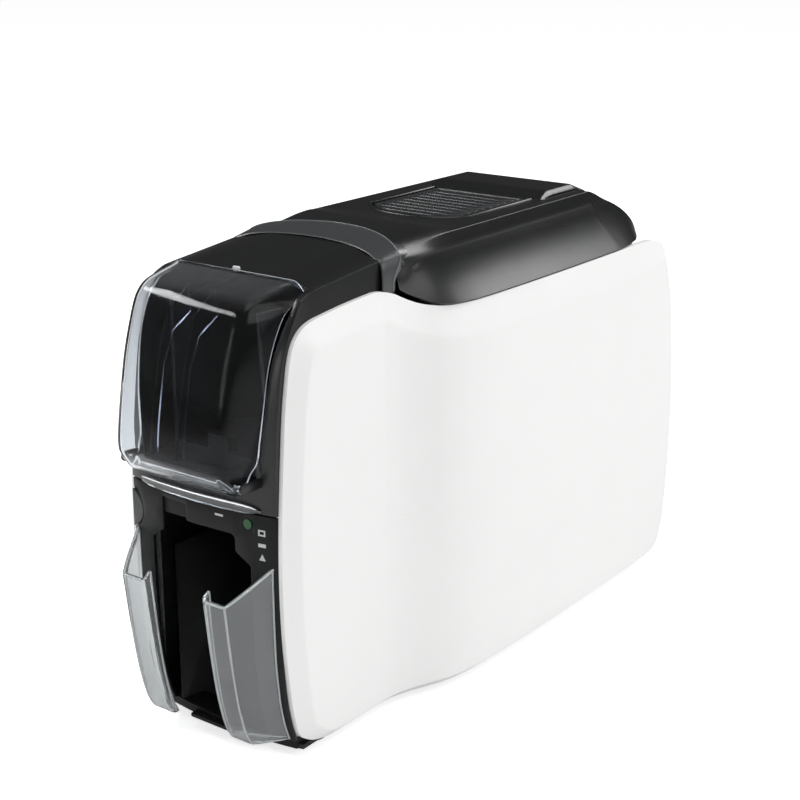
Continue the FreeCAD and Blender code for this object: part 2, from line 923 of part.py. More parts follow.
def status_lens():
    share = (L.lens_across.value / L.core_half_width.value) ** 2
    front = back(L.face_back - L.face_bow * (1 - share) - L.seat_gap)
    node(rod("status_lens", "Y", front, front + L.lens_depth, (L.lens_across, L.lens_height),
             L.lens_radius))


def power_button():
    front = back(L.face_back - L.power_proud)
    disc = rod("power_disc", "Y", front, front + L.power_thickness,
               (-L.power_across, L.power_height), L.power_radius)
    keep = box("power_keep", (-L.core_half_width, -L.core_half_width + L.power_radius),
               (front - L.overrun, front + L.overrun),
               (L.power_height - L.power_radius * 2, L.power_height + L.power_radius * 2))
    node(common("power_button", disc, keep))
    board_front = front + L.power_thickness + L.power_travel + L.seat_gap
    board = box("switch_board_block",
                (-L.core_half_width, -L.throat_half_width - L.power_radius),
                (board_front, board_front + L.board_thickness),
                (L.power_height - L.power_radius, L.power_height + L.power_radius * 1.4))
    node(board)
    board.Label = "button_board"


def housing_outline(bow):
    front = face_profile(bow, L.seam_height, L.forehead_height)
    front = [(distance, height + (L.seam_gap if index == 0 else 0))
             for index, (distance, height) in enumerate(front)]
    top = [
        (L.hairline_back - bow * 0.5, L.housing_front_top),
        (L.housing_back, L.housing_rear_top),
        (L.housing_back, L.seam_height + L.seam_gap),
    ]
    return [(back(distance), height) for distance, height in front + top]


def housing_facet():
    """Wedge that takes the sloping facet off the housing's right top edge."""
    x_out = L.core_half_width
    sections = []
    for distance, half, top in (
        (L.hairline_back - L.overrun, L.facet_front_half_width, -1.0),
        (L.housing_back + L.overrun, L.facet_rear_half_width, 1.0),
    ):
        run = (distance - L.hairline_back).value / (L.housing_back - L.hairline_back).value
        height = L.housing_front_top + (L.housing_rear_top - L.housing_front_top) * run
        y = back(distance)
        outer = x_out + L.shell_wall
        drop = L.facet_drop * ((outer - half).value / (x_out - half).value)
        sections.append([
            (half, y, height),
            (outer, y, height - drop),
            (outer, y, height + L.overrun),
            (half, y, height + L.overrun),
        ])
    return skin_through(sections)


def feeder_housing():
    shell = formed("housing_block", bowed(housing_outline, L.core_half_width))
    facet = formed("housing_right_facet", housing_facet())
    left_facet = mirrored("housing_left_facet", facet)
    hollow_top = L.housing_front_top - L.facet_drop - L.shell_wall
    half = L.core_half_width - L.shell_wall
    hollow = plate("housing_hollow", "XZ", back(L.temple_back), back(L.housing_back + L.overrun), [
        (-half, L.seam_height - L.overrun),
        (half, L.seam_height - L.overrun),
        (half, hollow_top),
        (L.facet_rear_half_width, hollow_top + L.shell_wall),
        (-L.facet_rear_half_width, hollow_top + L.shell_wall),
        (-half, hollow_top),
    ])
    behind_face = box("housing_behind_face", both_sides(half),
                      (back(L.face_back + L.shell_wall), back(L.temple_back + L.overrun)),
                      (L.seam_height - L.overrun, L.door_bottom + L.overrun))
    rim = L.seat_gap * 2
    flank = [(L.door_rear_half_width * DOOR_SHARES[0][3] + rim, L.door_bottom - rim)]
    for row in (DOOR_SHARES[3], DOOR_SHARES[5]):
        flank.append((L.door_rear_half_width * row[3] + rim, L.door_bottom + L.door_height * row[5]))
    for height in (L.door_height * DOOR_SHARES[8][5], L.door_height + L.overrun):
        flank.append((L.door_rear_half_width + rim, L.door_bottom + height))
    window = plate("housing_window", "XZ", back(-L.overrun), back(L.door_top_back),
                   flank + [(-x, z) for x, z in reversed(flank)])
    shell = cut("housing_shell", shell, facet, left_facet, hollow, behind_face, window)
    ears = [piece for side in (-1, 1) for piece in housing_ear(side)]
    holes = [rod(f"housing_pin_hole_{index}", "X", *ear_span(side, L.seat_gap), door_axis(),
                 L.door_pin_radius + L.running_gap) for index, side in enumerate((-1, 1))]
    node(cut("feeder_housing", fuse("housing_with_ears", shell, *ears), *holes))


def door_axis():
    return (back(-L.door_pivot_ahead), L.door_pivot_height)


def ear_span(side, margin):
    """From side to side over the ear beside the door's lower corner, and a margin past it."""
    inner = L.door_rear_half_width * DOOR_SHARES[2][3] + L.seat_gap - margin
    outer = inner + L.door_ear_width + margin * 2
    return (inner, outer) if side > 0 else (-outer, -inner)


def housing_ear(side):
    """Round-ended lug on the housing's face that a hinge pin of the door turns in."""
    name = "right" if side > 0 else "left"
    y, z = door_axis()
    span = ear_span(side, 0)
    arm = box(f"{name}_ear_arm", span, (y, back(L.face_back + L.shell_wall)),
              (z - L.door_ear_radius, z + L.door_ear_radius))
    return [arm, rod(f"{name}_ear_end", "X", *span, (y, z), L.door_ear_radius)]


def door_section(row, wall, open_rim):
    """Trapezoid across the door: its front edge and its rear rim, each from side to side."""
    front_half, front_way, front_height, rear_half, rear_way, rear_height = row
    reach = L.door_reach if front_way < 0 else L.door_top_back
    front = (back(reach * front_way), L.door_bottom + L.door_height * front_height)
    way = L.door_reach if rear_way < 0 else L.door_top_back
    rear = (back(way * rear_way), L.door_bottom + L.door_height * rear_height)
    run = (float(rear[0] - front[0]), float(rear[1] - front[1]))
    length = math.hypot(*run)
    along = (run[0] / length, run[1] / length)
    front = (front[0] + wall * along[0], front[1] + wall * along[1])
    rear = (rear[0] + open_rim * along[0], rear[1] + open_rim * along[1])
    half = L.door_half_width * front_half - wall
    rim = L.door_rear_half_width * rear_half - wall
    return [(-half, *front), (half, *front), (rim, *rear), (-rim, *rear)]


def feeder_door():
    outer = skin_through([door_section(row, 0, 0) for row in DOOR_SHARES])
    inner_rows = [door_section(row, L.clear_wall, L.overrun) for row in DOOR_SHARES[1:]]
    shell = outer.cut(skin_through(inner_rows))
    for side in (-1, 1):
        shell = shell.fuse(door_fin(outer, L.fin_half_spacing * side - L.fin_width / 2))
    for side in (-1, 1):
        shell = shell.fuse(door_pin(side))
    node(formed("feeder_door", shell.removeSplitter()))


def door_fin(outer, x):
    """A thin upright rib behind the door's front face that holds the cards' front edges."""
    outline = []
    inner = []
    for row in DOOR_SHARES[3:9]:
        section = door_section(row, L.clear_wall / 2, 0)
        front = section[0]
        outline.append((x, front[1], front[2]))
        inner.append((x, front[1] + L.fin_depth, front[2]))
    rib = Part.Face(wire(outline + inner[::-1])).extrude(Vector(float(L.fin_width), 0, 0))
    return rib.common(outer)


def door_pin(side):
    """Short hinge pin that stands out of one lower corner of the door into its ear."""
    low, high = ear_span(side, 0)
    wall = L.door_half_width - L.clear_wall
    span = (wall, high) if side > 0 else (low, -wall)
    start = point(span[0], *door_axis())
    return Part.makeCylinder(float(L.door_pin_radius), float(span[1] - span[0]), start,
                             Vector(1, 0, 0))


def guard_section(row):
    """Plan of the right output guard at one height: outer wall, front face and inner lip."""
    height, way = row
    z = L.guard_bottom + L.guard_height * height
    front = back(-L.guard_reach * way)
    rear = back(L.face_back - L.seat_gap)
    wall = L.clear_wall
    return [
        (L.guard_outer_rear, rear, z),
        (L.guard_outer_front, front, z),
        (L.guard_inner_front, front, z),
        (L.guard_inner_front, front + L.guard_lip, z),
        (L.guard_inner_front + wall, front + L.guard_lip, z),
        (L.guard_inner_front + wall, front + wall, z),
        (L.guard_outer_front - wall * 0.6, front + wall, z),
        (L.guard_outer_rear - wall * 1.15, rear, z),
    ]


def output_guards():
    body = skin_through([guard_section(row) for row in GUARD_SHARES])
    top_rear = L.guard_bottom + L.guard_height
    trim = [
        (-L.overrun, back(-L.guard_reach - L.overrun), L.guard_front_top - L.guard_lip * 2),
        (-L.overrun, back(-L.guard_reach), L.guard_front_top),
        (-L.overrun, back(L.face_back), top_rear),
        (-L.overrun, back(L.face_back), top_rear + L.overrun),
        (-L.overrun, back(-L.guard_reach - L.overrun), top_rear + L.overrun),
    ]
    wedge = Part.Face(wire(trim)).extrude(Vector(float(L.guard_outer_rear + L.overrun * 2), 0, 0))
    solid = body.cut(wedge)
    foot_share = GUARD_SHARES[0][1]
    foot = [
        (L.guard_outer_rear, back(L.face_back - L.seat_gap), L.guard_bottom),
        (L.guard_outer_front, back(-L.guard_reach * foot_share), L.guard_bottom),
        (L.guard_inner_front, back(-L.guard_reach * foot_share), L.guard_bottom),
        (L.guard_inner_front, back(L.face_back - L.seat_gap), L.guard_bottom),
    ]
    floor = Part.Face(wire(foot)).extrude(Vector(0, 0, float(L.clear_wall)))
    keep = formed("guard_block", solid.fuse(floor).removeSplitter())
    face = formed("guard_face_space", bowed(guard_clearance, L.core_half_width + L.clear_wall))
    right = node(cut("right_output_guard", keep, face))
    node(mirrored("left_output_guard", right))


def guard_clearance(bow):
    """Space of the bezel and a seat gap ahead of it, from the side."""
    front = face_profile(bow + L.seat_gap, L.chin_height, L.seam_height)
    low = (front[0][0], L.foot_height)
    rear = [(L.overrun * 2, L.seam_height), (L.overrun * 2, L.foot_height)]
    return [(back(distance), height) for distance, height in [low] + front + rear]


def output_bin():
    inner = L.bin_half_width
    outer = inner + L.clear_wall
    floor = L.bin_floor
    rear = back(L.bin_back)
    section = plate("bin_channel", "XZ", back(L.chin_back), rear, [
        (-outer, floor - L.clear_wall), (outer, floor - L.clear_wall), (outer, L.bin_top),
        (inner, L.bin_top), (inner, floor), (-inner, floor), (-inner, L.bin_top),
        (-outer, L.bin_top),
    ])
    wall = box("bin_rear_wall", both_sides(outer), (rear, rear + L.clear_wall),
               (floor - L.clear_wall, L.bin_top))
    lip = box("bin_lip", both_sides(L.bin_lip_half_width),
              (back(-L.guard_reach * GUARD_SHARES[0][1]), back(L.chin_back)),
              (floor - L.clear_wall, floor))
    node(fuse("output_bin", section, wall, lip))


def frame_holes():
    """Where the card path's shafts run through both frame plates."""
    r = L.shaft_radius + L.running_gap
    return [
        (back(L.pick_back), pick_height(), r),
        (back(L.cleaner_back), cleaner_height(), r),
        (back(L.platen_back), platen_height(), r),
        (back(L.exit_roller_back), exit_roller_height(), r),
        (back(L.deck_pivot_back), L.deck_pivot_height, r),
    ]


def pick_height():
    return L.path_height + L.pick_proud - L.pick_radius


def cleaner_height():
    return L.path_height + L.card_room + L.cleaner_radius


def platen_height():
    return L.path_height - L.platen_radius


def exit_slope():
    """Rise of the card's way out for each millimetre back, up to the tilted deck's path."""
    rise = float(L.path_height - L.exit_height)
    return rise / float(L.deck_pivot_back - L.chin_back)


def exit_path(distance):
    return L.exit_height + (distance - L.chin_back) * exit_slope()


def exit_roller_height():
    return exit_path(L.exit_roller_back) - L.exit_roller_radius


def frame_plates():
    low = L.foot_height + L.shell_wall
    step = L.path_height - L.clear_wall
    outline = [
        (back(L.frame_front_back), low),
        (back(L.frame_rear_back), low),
        (back(L.frame_rear_back), L.frame_top),
        (back(L.frame_step_back), L.frame_top),
        (back(L.frame_step_back), step),
        (back(L.frame_front_back), step),
    ]
    right = plate("right_frame_sheet", "YZ", L.frame_half_span, L.frame_half_span + L.sheet_wall,
                  outline, circles=frame_holes())
    studs = []
    for number, (distance, height) in enumerate(board_studs()):
        studs.append(rod(f"board_stud_{number}", "X", L.frame_half_span + L.sheet_wall,
                         L.board_across, (back(distance), height), L.stud_radius))
    node(fuse("right_frame", right, *studs))
    gear_hole = (back(gear_back()), L.motor_height, L.shaft_radius + L.running_gap)
    motor_hole = (back(L.motor_back), L.motor_height, L.shaft_radius * 2)
    left = plate("left_frame", "YZ", -L.frame_half_span - L.sheet_wall, -L.frame_half_span,
                 outline, circles=frame_holes() + [gear_hole, motor_hole])
    node(left)


def board_studs():
    inset = L.stud_radius * 2
    low = L.board_bottom + inset
    high = L.board_top - inset
    front = L.board_back - L.board_half_length + inset
    rear = L.board_back + L.board_half_length - inset
    return [(front, low), (rear, low), (front, high), (rear, high)]


def frame_rods():
    rods = []
    for name, distance, height in (
        ("low_rod", L.low_rod_back, L.low_rod_height),
        ("rear_rod", L.rear_rod_back, L.rear_rod_height),
        ("high_rod", L.high_rod_back, L.high_rod_height),
        ("latch_bar", L.latch_bar_back, L.latch_bar_height),
    ):
        rods.append(rod(name, "X", -L.frame_half_span, L.frame_half_span,
                        (back(distance), height), L.rod_radius))
    node(group("frame_rods", *rods))


def card_hopper():
    guide = (L.card_width + L.card_slack) / 2
    outer = guide + L.clear_wall
    top = L.path_height
    low = top - L.clear_wall
    front = back(L.hopper_back)
    guide_front = back(L.hopper_guide_back)
    rear = back(L.hopper_back + L.card_length + L.card_slack)
    flange = L.frame_half_span + L.sheet_wall
    floor = plate("hopper_floor", "XY", low, top,
                  rectangle(both_sides(flange), (front, rear + L.clear_wall)),
                  [rectangle(both_sides(L.hopper_slot_half_width),
                             (back(L.pick_back - L.pick_radius), back(L.pick_back + L.pick_radius)))])
    right = box("hopper_right_guide", (guide, outer), (guide_front, rear + L.clear_wall),
                (top, L.hopper_top))
    left = box("hopper_left_guide", (-outer, -guide), (guide_front, rear + L.clear_wall),
               (top, L.hopper_top))
    gate = box("hopper_rear_wall", both_sides(guide), (rear, rear + L.clear_wall),
               (top + L.gate_gap, L.hopper_top))
    node(fuse("card_hopper", floor, right, left, gate))


def card_weight():
    low = L.path_height + L.weight_lift
    high = low + L.weight_height
    front = back(L.weight_front_back)
    rear = back(L.weight_rear_back)
    slab = box("weight_slab", both_sides(L.weight_half_width), (front, rear), (low, high))
    grip = box("weight_grip", both_sides(L.weight_grip_half_width),
               (front, front + L.weight_grip_depth), (high, high + L.weight_grip_height))
    node(fuse("card_weight", slab, grip))


def roller(label, distance, height, radius, half_width, shaft, reach):
    """A rubber-covered roller and its shaft, turned as one piece."""
    centre = (back(distance), height)
    sleeve = rod(label + "_sleeve", "X", -half_width, half_width, centre, radius)
    axle = rod(label + "_axle", "X", -reach, reach, centre, shaft)
    return fuse(label, sleeve, axle)


def bored_roller(label, distance, height, radius, half_width, shaft):
    """A rubber sleeve with a bore for its shaft."""
    centre = (back(distance), height)
    sleeve = rod(label + "_sleeve", "X", -half_width, half_width, centre, radius)
    bore = rod(label + "_bore", "X", -half_width - L.overrun, half_width + L.overrun, centre, shaft)
    return cut(label, sleeve, bore)


def pick_assembly():
    reach = L.frame_half_span + L.sheet_wall
    centre = (back(L.pick_back), pick_height())
    node(bored_roller("pick_roller", L.pick_back, pick_height(), L.pick_radius,
                      L.pick_half_width, L.shaft_radius))
    node(rod("pick_shaft", "X", -reach, reach, centre, L.shaft_radius))


def cleaning_roller():
    node(roller("cleaning_roller", L.cleaner_back, cleaner_height(), L.cleaner_radius,
                L.platen_half_width, L.shaft_radius, L.frame_half_span + L.sheet_wall))


def pulley_span():
    """X span of the belt pulleys, outside the gears on the left frame."""
    outer = -L.frame_half_span - L.sheet_wall - L.gear_stand_off - L.gear_width - L.gear_stand_off
    return (outer - L.belt_width - L.pulley_flange * 2, outer)


def pulley(label, distance, height, radius):
    """A flanged belt pulley."""
    low, high = pulley_span()
    centre = (back(distance), height)
    drum = rod(label + "_drum", "X", low, high, centre, radius)
    rim = radius + L.belt_thickness
    outer = rod(label + "_outer_flange", "X", low, low + L.pulley_flange, centre, rim)
    inner = rod(label + "_inner_flange", "X", high - L.pulley_flange, high, centre, rim)
    return [drum, outer, inner]


def platen_assembly():
    centre = (back(L.platen_back), platen_height())
    node(bored_roller("platen_roller", L.platen_back, platen_height(), L.platen_radius,
                      L.platen_half_width, L.shaft_radius))
    shaft = rod("platen_axle", "X", pulley_span()[0], L.frame_half_span + L.sheet_wall,
                centre, L.shaft_radius)
    wheel = pulley("platen_pulley", L.platen_back, platen_height(), L.platen_pulley_radius)
    node(fuse("platen_shaft", shaft, *wheel))


def exit_roller():
    node(roller("exit_roller", L.exit_roller_back, exit_roller_height(), L.exit_roller_radius,
                L.exit_roller_half_width, L.shaft_radius, L.frame_half_span + L.sheet_wall))


def exit_chute():
    """Sloping plate that leads a printed card from the tilted deck down to the bin."""
    lower = L.chute_front_back
    upper = L.platen_back - L.platen_radius - L.card_room
    drop = L.card_room
    outline = [
        (back(lower), exit_path(lower) - drop - L.sheet_wall),
        (back(upper), exit_path(upper) - drop - L.sheet_wall),
        (back(upper), exit_path(upper) - drop),
        (back(lower), exit_path(lower) - drop),
    ]
    half = L.frame_half_span - L.seat_gap
    slope = plate("chute_slope", "YZ", -half, half, outline)
    slot = box("chute_slot", both_sides(L.exit_roller_half_width + L.card_room),
               (back(L.exit_roller_back - L.exit_roller_radius - L.card_room),
                back(L.exit_roller_back + L.exit_roller_radius + L.card_room)),
               (L.exit_height - L.overrun, L.path_height))
    node(cut("exit_chute", slope, slot))


def path_guide():
    front = L.hopper_back + L.card_length + L.card_slack + L.clear_wall + L.seat_gap
    rear = L.platen_back - L.platen_radius - L.card_room * 2
    half = L.frame_half_span - L.seat_gap
    node(plate("path_guide", "XY", L.path_height - L.sheet_wall, L.path_height,
               rectangle(both_sides(half), (back(front), back(rear)))))


def tilt_deck():
    """Carriage behind the platen that takes the card and tilts it to the exit chute."""
    outer = L.deck_half_width
    inner = outer - L.deck_wall
    top = L.path_height
    low = top - L.deck_wall
    front = back(L.deck_front_back)
    rear = back(L.deck_pivot_back + L.shaft_radius * 2)
    beam = plate("deck_beam", "XZ", front, rear, [
        (-outer, L.deck_bottom), (-inner, L.deck_bottom), (-inner, low), (inner, low),
        (inner, L.deck_bottom), (outer, L.deck_bottom), (outer, L.deck_top),
        (inner, L.deck_top), (inner, top), (-inner, top), (-inner, L.deck_top),
        (-outer, L.deck_top),
    ])
    tools = []
    height = deck_roller_height()
    for name, distance in (("front", L.deck_front_roller_back), ("rear", L.deck_rear_roller_back)):
        room = L.deck_roller_radius + L.card_room
        tools.append(box(f"deck_{name}_slot", both_sides(L.deck_roller_half_width + L.card_room),
                         (back(distance - room), back(distance + room)),
                         (low - L.overrun, top + L.card_room)))
        tools.append(rod(f"deck_{name}_bore", "X", -outer - L.overrun, outer + L.overrun,
                         (back(distance), height), L.deck_shaft_radius + L.running_gap))
    shell = cut("deck_shell", beam, *tools)
    pins = []
    for name, start, end in (
        ("left", -L.frame_half_span - L.sheet_wall, -inner),
        ("right", inner, L.frame_half_span + L.sheet_wall),
    ):
        pins.append(rod(f"deck_{name}_pin", "X", start, end,
                        (back(L.deck_pivot_back), L.deck_pivot_height), L.shaft_radius))
    node(fuse("tilt_deck", shell, *pins))


def deck_roller_height():
    return L.path_height - L.deck_roller_radius


def deck_rollers():
    for name, distance in (("front", L.deck_front_roller_back), ("rear", L.deck_rear_roller_back)):
        node(roller(f"deck_{name}_roller", distance, deck_roller_height(), L.deck_roller_radius,
                    L.deck_roller_half_width, L.deck_shaft_radius, L.deck_half_width))


def gear_back():
    """The drive gear lies ahead of the motor by both pitch radii."""
    return L.motor_back - L.gear_module * ((PINION_TEETH + GEAR_TEETH) / 2)


def gear_profile(teeth, phase):
    """Involute spur gear outline about the origin, in the plane across its axis."""
    module = float(L.gear_module)
    pitch = module * teeth / 2
    base = pitch * math.cos(math.radians(PRESSURE_ANGLE))
    outer = pitch + module * TOOTH_SHARES[0]
    root = pitch - module * TOOTH_SHARES[1]
    half_tooth = math.pi / teeth / 2 - float(L.tooth_slack) / pitch / 2
    roll = math.tan(math.radians(PRESSURE_ANGLE)) - math.radians(PRESSURE_ANGLE)
    flank = []
    start = max(base, root)
    for step in range(FLANK_POINTS + 1):
        radius = start + (outer - start) * step / FLANK_POINTS
        angle = math.acos(min(1, base / radius))
        flank.append((radius, half_tooth + roll - math.tan(angle) + angle))
    outline = []
    for tooth in range(teeth):
        centre = phase + 2 * math.pi * tooth / teeth
        outline.append((root, centre - flank[0][1]))
        outline += [(radius, centre - offset) for radius, offset in flank]
        outline += [(radius, centre + offset) for radius, offset in reversed(flank)]
        outline.append((root, centre + flank[0][1]))
    return [(radius * math.cos(angle), radius * math.sin(angle)) for radius, angle in outline]


def gear_span():
    outer = -L.frame_half_span - L.sheet_wall - L.gear_stand_off
    return (outer - L.gear_width, outer)


def gear_blank(teeth, phase, distance, height, span):
    low, high = span
    y = float(back(distance))
    z = float(height)
    corners = [Vector(float(low), y + u, z + v) for u, v in gear_profile(teeth, phase)]
    face = Part.Face(Part.makePolygon(corners + corners[:1]))
    return face.extrude(Vector(float(high - low), 0, 0))


def drive_train():
    low, high = gear_span()
    inner_end = -L.frame_half_span + L.sheet_wall
    wheel = formed("drive_gear_teeth", gear_blank(GEAR_TEETH, 0, gear_back(), L.motor_height, (low, high)))
    hub = rod("drive_gear_shaft", "X", pulley_span()[0], inner_end,
              (back(gear_back()), L.motor_height), L.shaft_radius)
    drum = pulley("drive_pulley", gear_back(), L.motor_height, L.drive_pulley_radius)
    node(fuse("drive_gear", wheel, hub, *drum))
    phase = math.pi + math.pi / PINION_TEETH
    pinion = formed("pinion_teeth", gear_blank(PINION_TEETH, phase, L.motor_back, L.motor_height,
                                               (low, high)))
    axle = rod("pinion_axle", "X", low, -L.frame_half_span - L.seat_gap,
               (back(L.motor_back), L.motor_height), L.shaft_radius / 2)
    node(fuse("motor_pinion", pinion, axle))
    half = L.motor_size / 2
    node(box("stepper_motor", (-L.frame_half_span, -L.frame_half_span + L.motor_length),
             (back(L.motor_back - half), back(L.motor_back + half)),
             (L.motor_height - half, L.motor_height + half)))


def drive_belt():
    """Flat ring round the drive pulley and the platen pulley."""
    low, high = pulley_span()
    x = low + L.pulley_flange + L.seat_gap / 2
    width = high - low - L.pulley_flange * 2 - L.seat_gap
    inner = belt_face(x, L.seat_gap / 2)
    outer = belt_face(x, L.seat_gap / 2 + L.belt_thickness)
    ring = outer.cut(inner)
    node(formed("drive_belt", ring.extrude(Vector(float(width), 0, 0))))


def belt_face(x, lift):
    """Hull of the two pulleys in the plane at x, grown by lift."""
    first = (float(back(gear_back())), float(L.motor_height), float(L.drive_pulley_radius + lift))
    second = (float(back(L.platen_back)), float(platen_height()),
              float(L.platen_pulley_radius + lift))
    run = (second[0] - first[0], second[1] - first[1])
    distance = math.hypot(*run)
    heading = math.atan2(run[1], run[0])
    spread = math.acos((first[2] - second[2]) / distance)

    def on(circle, angle):
        return (float(x), circle[0] + circle[2] * math.cos(angle),
                circle[1] + circle[2] * math.sin(angle))

    edges = [
        arc(on(first, heading + spread), on(first, heading + math.pi), on(first, heading - spread)),
        line(on(first, heading - spread), on(second, heading - spread)),
        arc(on(second, heading - spread), on(second, heading), on(second, heading + spread)),
        line(on(second, heading + spread), on(first, heading + spread)),
    ]
    return Part.Face(Part.Wire(edges))


def inner_deck():
    low = L.frame_top
    high = low + L.deck_plate
    outline = plan_outline(L.cover_front_back, L.inner_deck_back)
    bay = rectangle(both_sides(L.bay_half_width),
                    (back(L.cover_front_back + L.deck_plate), back(L.bay_rear_back)))
    sheet = plate("deck_sheet", "XY", low, high, outline, [bay])
    ears = []
    for side, start, end in (
        ("left", -L.ear_half_span - L.ear_width, -L.ear_half_span),
        ("right", L.ear_half_span, L.ear_half_span + L.ear_width),
    ):
        ears.append(plate(f"deck_{side}_ear", "YZ", start, end, [
            (back(L.hinge_back - L.ear_half_depth), high),
            (back(L.hinge_back + L.ear_half_depth), high),
            (back(L.hinge_back + L.hinge_pin_radius * 1.6), L.hinge_height + L.hinge_pin_radius * 1.6),
            (back(L.hinge_back - L.hinge_pin_radius * 1.6), L.hinge_height + L.hinge_pin_radius * 1.6),
        ], circles=[(back(L.hinge_back), L.hinge_height, L.hinge_pin_radius)]))
    node(fuse("inner_deck", sheet, *ears))
    pins = []
    reach = L.ear_half_span + L.ear_width + L.hinge_arm_width + L.seat_gap * 2
    for side, start, end in (("left", -reach, -L.ear_half_span), ("right", L.ear_half_span, reach)):
        pins.append(rod(f"{side}_hinge_pin", "X", start, end,
                        (back(L.hinge_back), L.hinge_height), L.hinge_pin_radius))
    node(group("cover_hinge_pins", *pins))


def cartridge():
    inner = L.cartridge_half_width
    outer = inner + L.clear_wall
    low = L.cartridge_bottom
    deck = L.frame_top + L.deck_plate
    top = deck + L.clear_wall
    front = L.cover_front_back + L.deck_plate + L.seat_gap
    rear = L.cartridge_rear_back
    sides = []
    holes = [(back(distance), L.spool_height, L.spool_shaft_radius + L.running_gap)
             for distance in (L.supply_back, L.takeup_back)]
    for side, start in (("left", -outer), ("right", inner)):
        sides.append(plate(f"cartridge_{side}_wall", "YZ", start, start + L.clear_wall, rectangle(
            (back(front), back(rear)), (low, top)), circles=holes))
        edge = start if side == "right" else start + L.clear_wall
        reach = edge + L.cartridge_flange if side == "right" else edge - L.cartridge_flange
        span = (edge, reach) if side == "right" else (reach, edge)
        sides.append(box(f"cartridge_{side}_flange", span, (back(front), back(rear)), (deck, top)))
    for name, start in (("front", front), ("rear", rear - L.clear_wall)):
        sides.append(box(f"cartridge_{name}_bar", both_sides(inner),
                         (back(start), back(start + L.clear_wall)),
                         (top - L.cartridge_bar, top)))
    node(fuse("ribbon_cartridge", *sides))
    for name, distance, radius in (
        ("supply_spool", L.supply_back, L.supply_radius),
        ("takeup_spool", L.takeup_back, L.takeup_radius),
    ):
        node(roller(name, distance, L.spool_height, radius, L.spool_half_width,
                    L.spool_shaft_radius, outer))


def ribbon_film():
    """Thin web from the supply spool, flat under the head and up to the take-up spool."""
    half_depth = L.head_depth / 2 + L.card_room
    level = L.film_level
    thick = L.film_thickness
    rise = L.spool_height
    front_y = back(L.supply_back) + L.supply_radius + L.seat_gap
    rear_y = back(L.takeup_back) - L.takeup_radius - L.seat_gap
    outline = [
        (front_y, rise),
        (back(L.platen_back) - half_depth, level - thick),
        (back(L.platen_back) + half_depth, level - thick),
        (rear_y, rise),
        (rear_y - thick, rise),
        (back(L.platen_back) + half_depth - thick, level),
        (back(L.platen_back) - half_depth + thick, level),
        (front_y + thick, rise),
    ]
    node(plate("ribbon_film", "YZ", -L.film_half_width, L.film_half_width, outline))


def print_head():
    half = L.head_depth / 2
    span = (back(L.platen_back - half), back(L.platen_back + half))
    top = L.head_level + L.head_thickness
    node(box("print_head", both_sides(L.head_half_width), span, (L.head_level, top)))
    sink_top = top + L.sink_height
    block = box("sink_block", both_sides(L.head_half_width), span, (top, sink_top))
    slots = []
    pitch = L.sink_fin + L.sink_slot
    for number in range(SINK_SLOTS):
        start = back(L.platen_back - half) + L.sink_fin + pitch * number
        slots.append(box(f"sink_slot_{number}", both_sides(L.head_half_width + L.overrun),
                         (start, start + L.sink_slot), (top + L.sink_fin, sink_top - L.sink_fin)))
    node(cut("head_heat_sink", block, *slots))


def sink_top_height():
    return L.head_level + L.head_thickness + L.sink_height


def biarc(start, start_way, end, end_way):
    """Two arcs that leave start and reach end along the given directions."""
    gap = end - start
    ways = start_way + end_way
    a = 2 * (1 - start_way.dot(end_way))
    b = 2 * gap.dot(ways)
    c = -gap.dot(gap)
    reach = (-b + math.sqrt(b * b - 4 * a * c)) / (2 * a) if a > 1e-9 else -c / b
    joint = (start + start_way * reach + end - end_way * reach) * 0.5
    return [bent(start, start_way, joint), bent(end, end_way * -1, joint)[::-1]]


def bent(start, way, end):
    """Start, middle and end of the arc that leaves start along way and stops at end."""
    chord = end - start
    length = chord.Length
    along = chord * (1 / length)
    turn = way - along * way.dot(along)
    angle = math.atan2(turn.Length, way.dot(along))
    turn.normalize()
    middle = (start + end) * 0.5 + turn * (length / 2 * math.tan(angle / 2))
    return [start, middle, end]


def coil(x, y, low, high, radius, gauge):
    """A round-wire spring standing on low, wound in quarter turns."""
    r = float(radius)
    half_gauge = float(gauge) / 2
    bottom = float(low) + half_gauge
    climb = (float(high - low) - 2 * half_gauge) / SPRING_TURNS
    centre = Vector(float(x), float(y), 0)

    def at(angle):
        return centre + Vector(r * math.cos(angle), r * math.sin(angle),
                               bottom + climb * angle / (2 * math.pi))

    def way(angle):
        direction = Vector(-r * math.sin(angle), r * math.cos(angle), climb / (2 * math.pi))
        return direction.normalize()

    edges = []
    for quarter in range(4 * SPRING_TURNS):
        first = quarter * math.pi / 2
        second = first + math.pi / 2
        for start, middle, end in biarc(at(first), way(first), at(second), way(second)):
            edges.append(Part.Arc(start, middle, end).toShape())
    path = Part.Wire(edges)
    section = Part.Wire(Part.makeCircle(half_gauge, at(0), way(0)))
    return path.makePipeShell([section], True, False)


def head_springs():
    low = sink_top_height() + L.seat_gap / 2
    springs = []
    for side in (-1, 1):
        x = L.head_spring_across * side
        springs.append(coil(x, back(L.platen_back), low, low + L.head_spring_length,
                            L.head_spring_radius, L.head_spring_wire))
    node(formed("head_springs", Part.makeCompound(springs)))


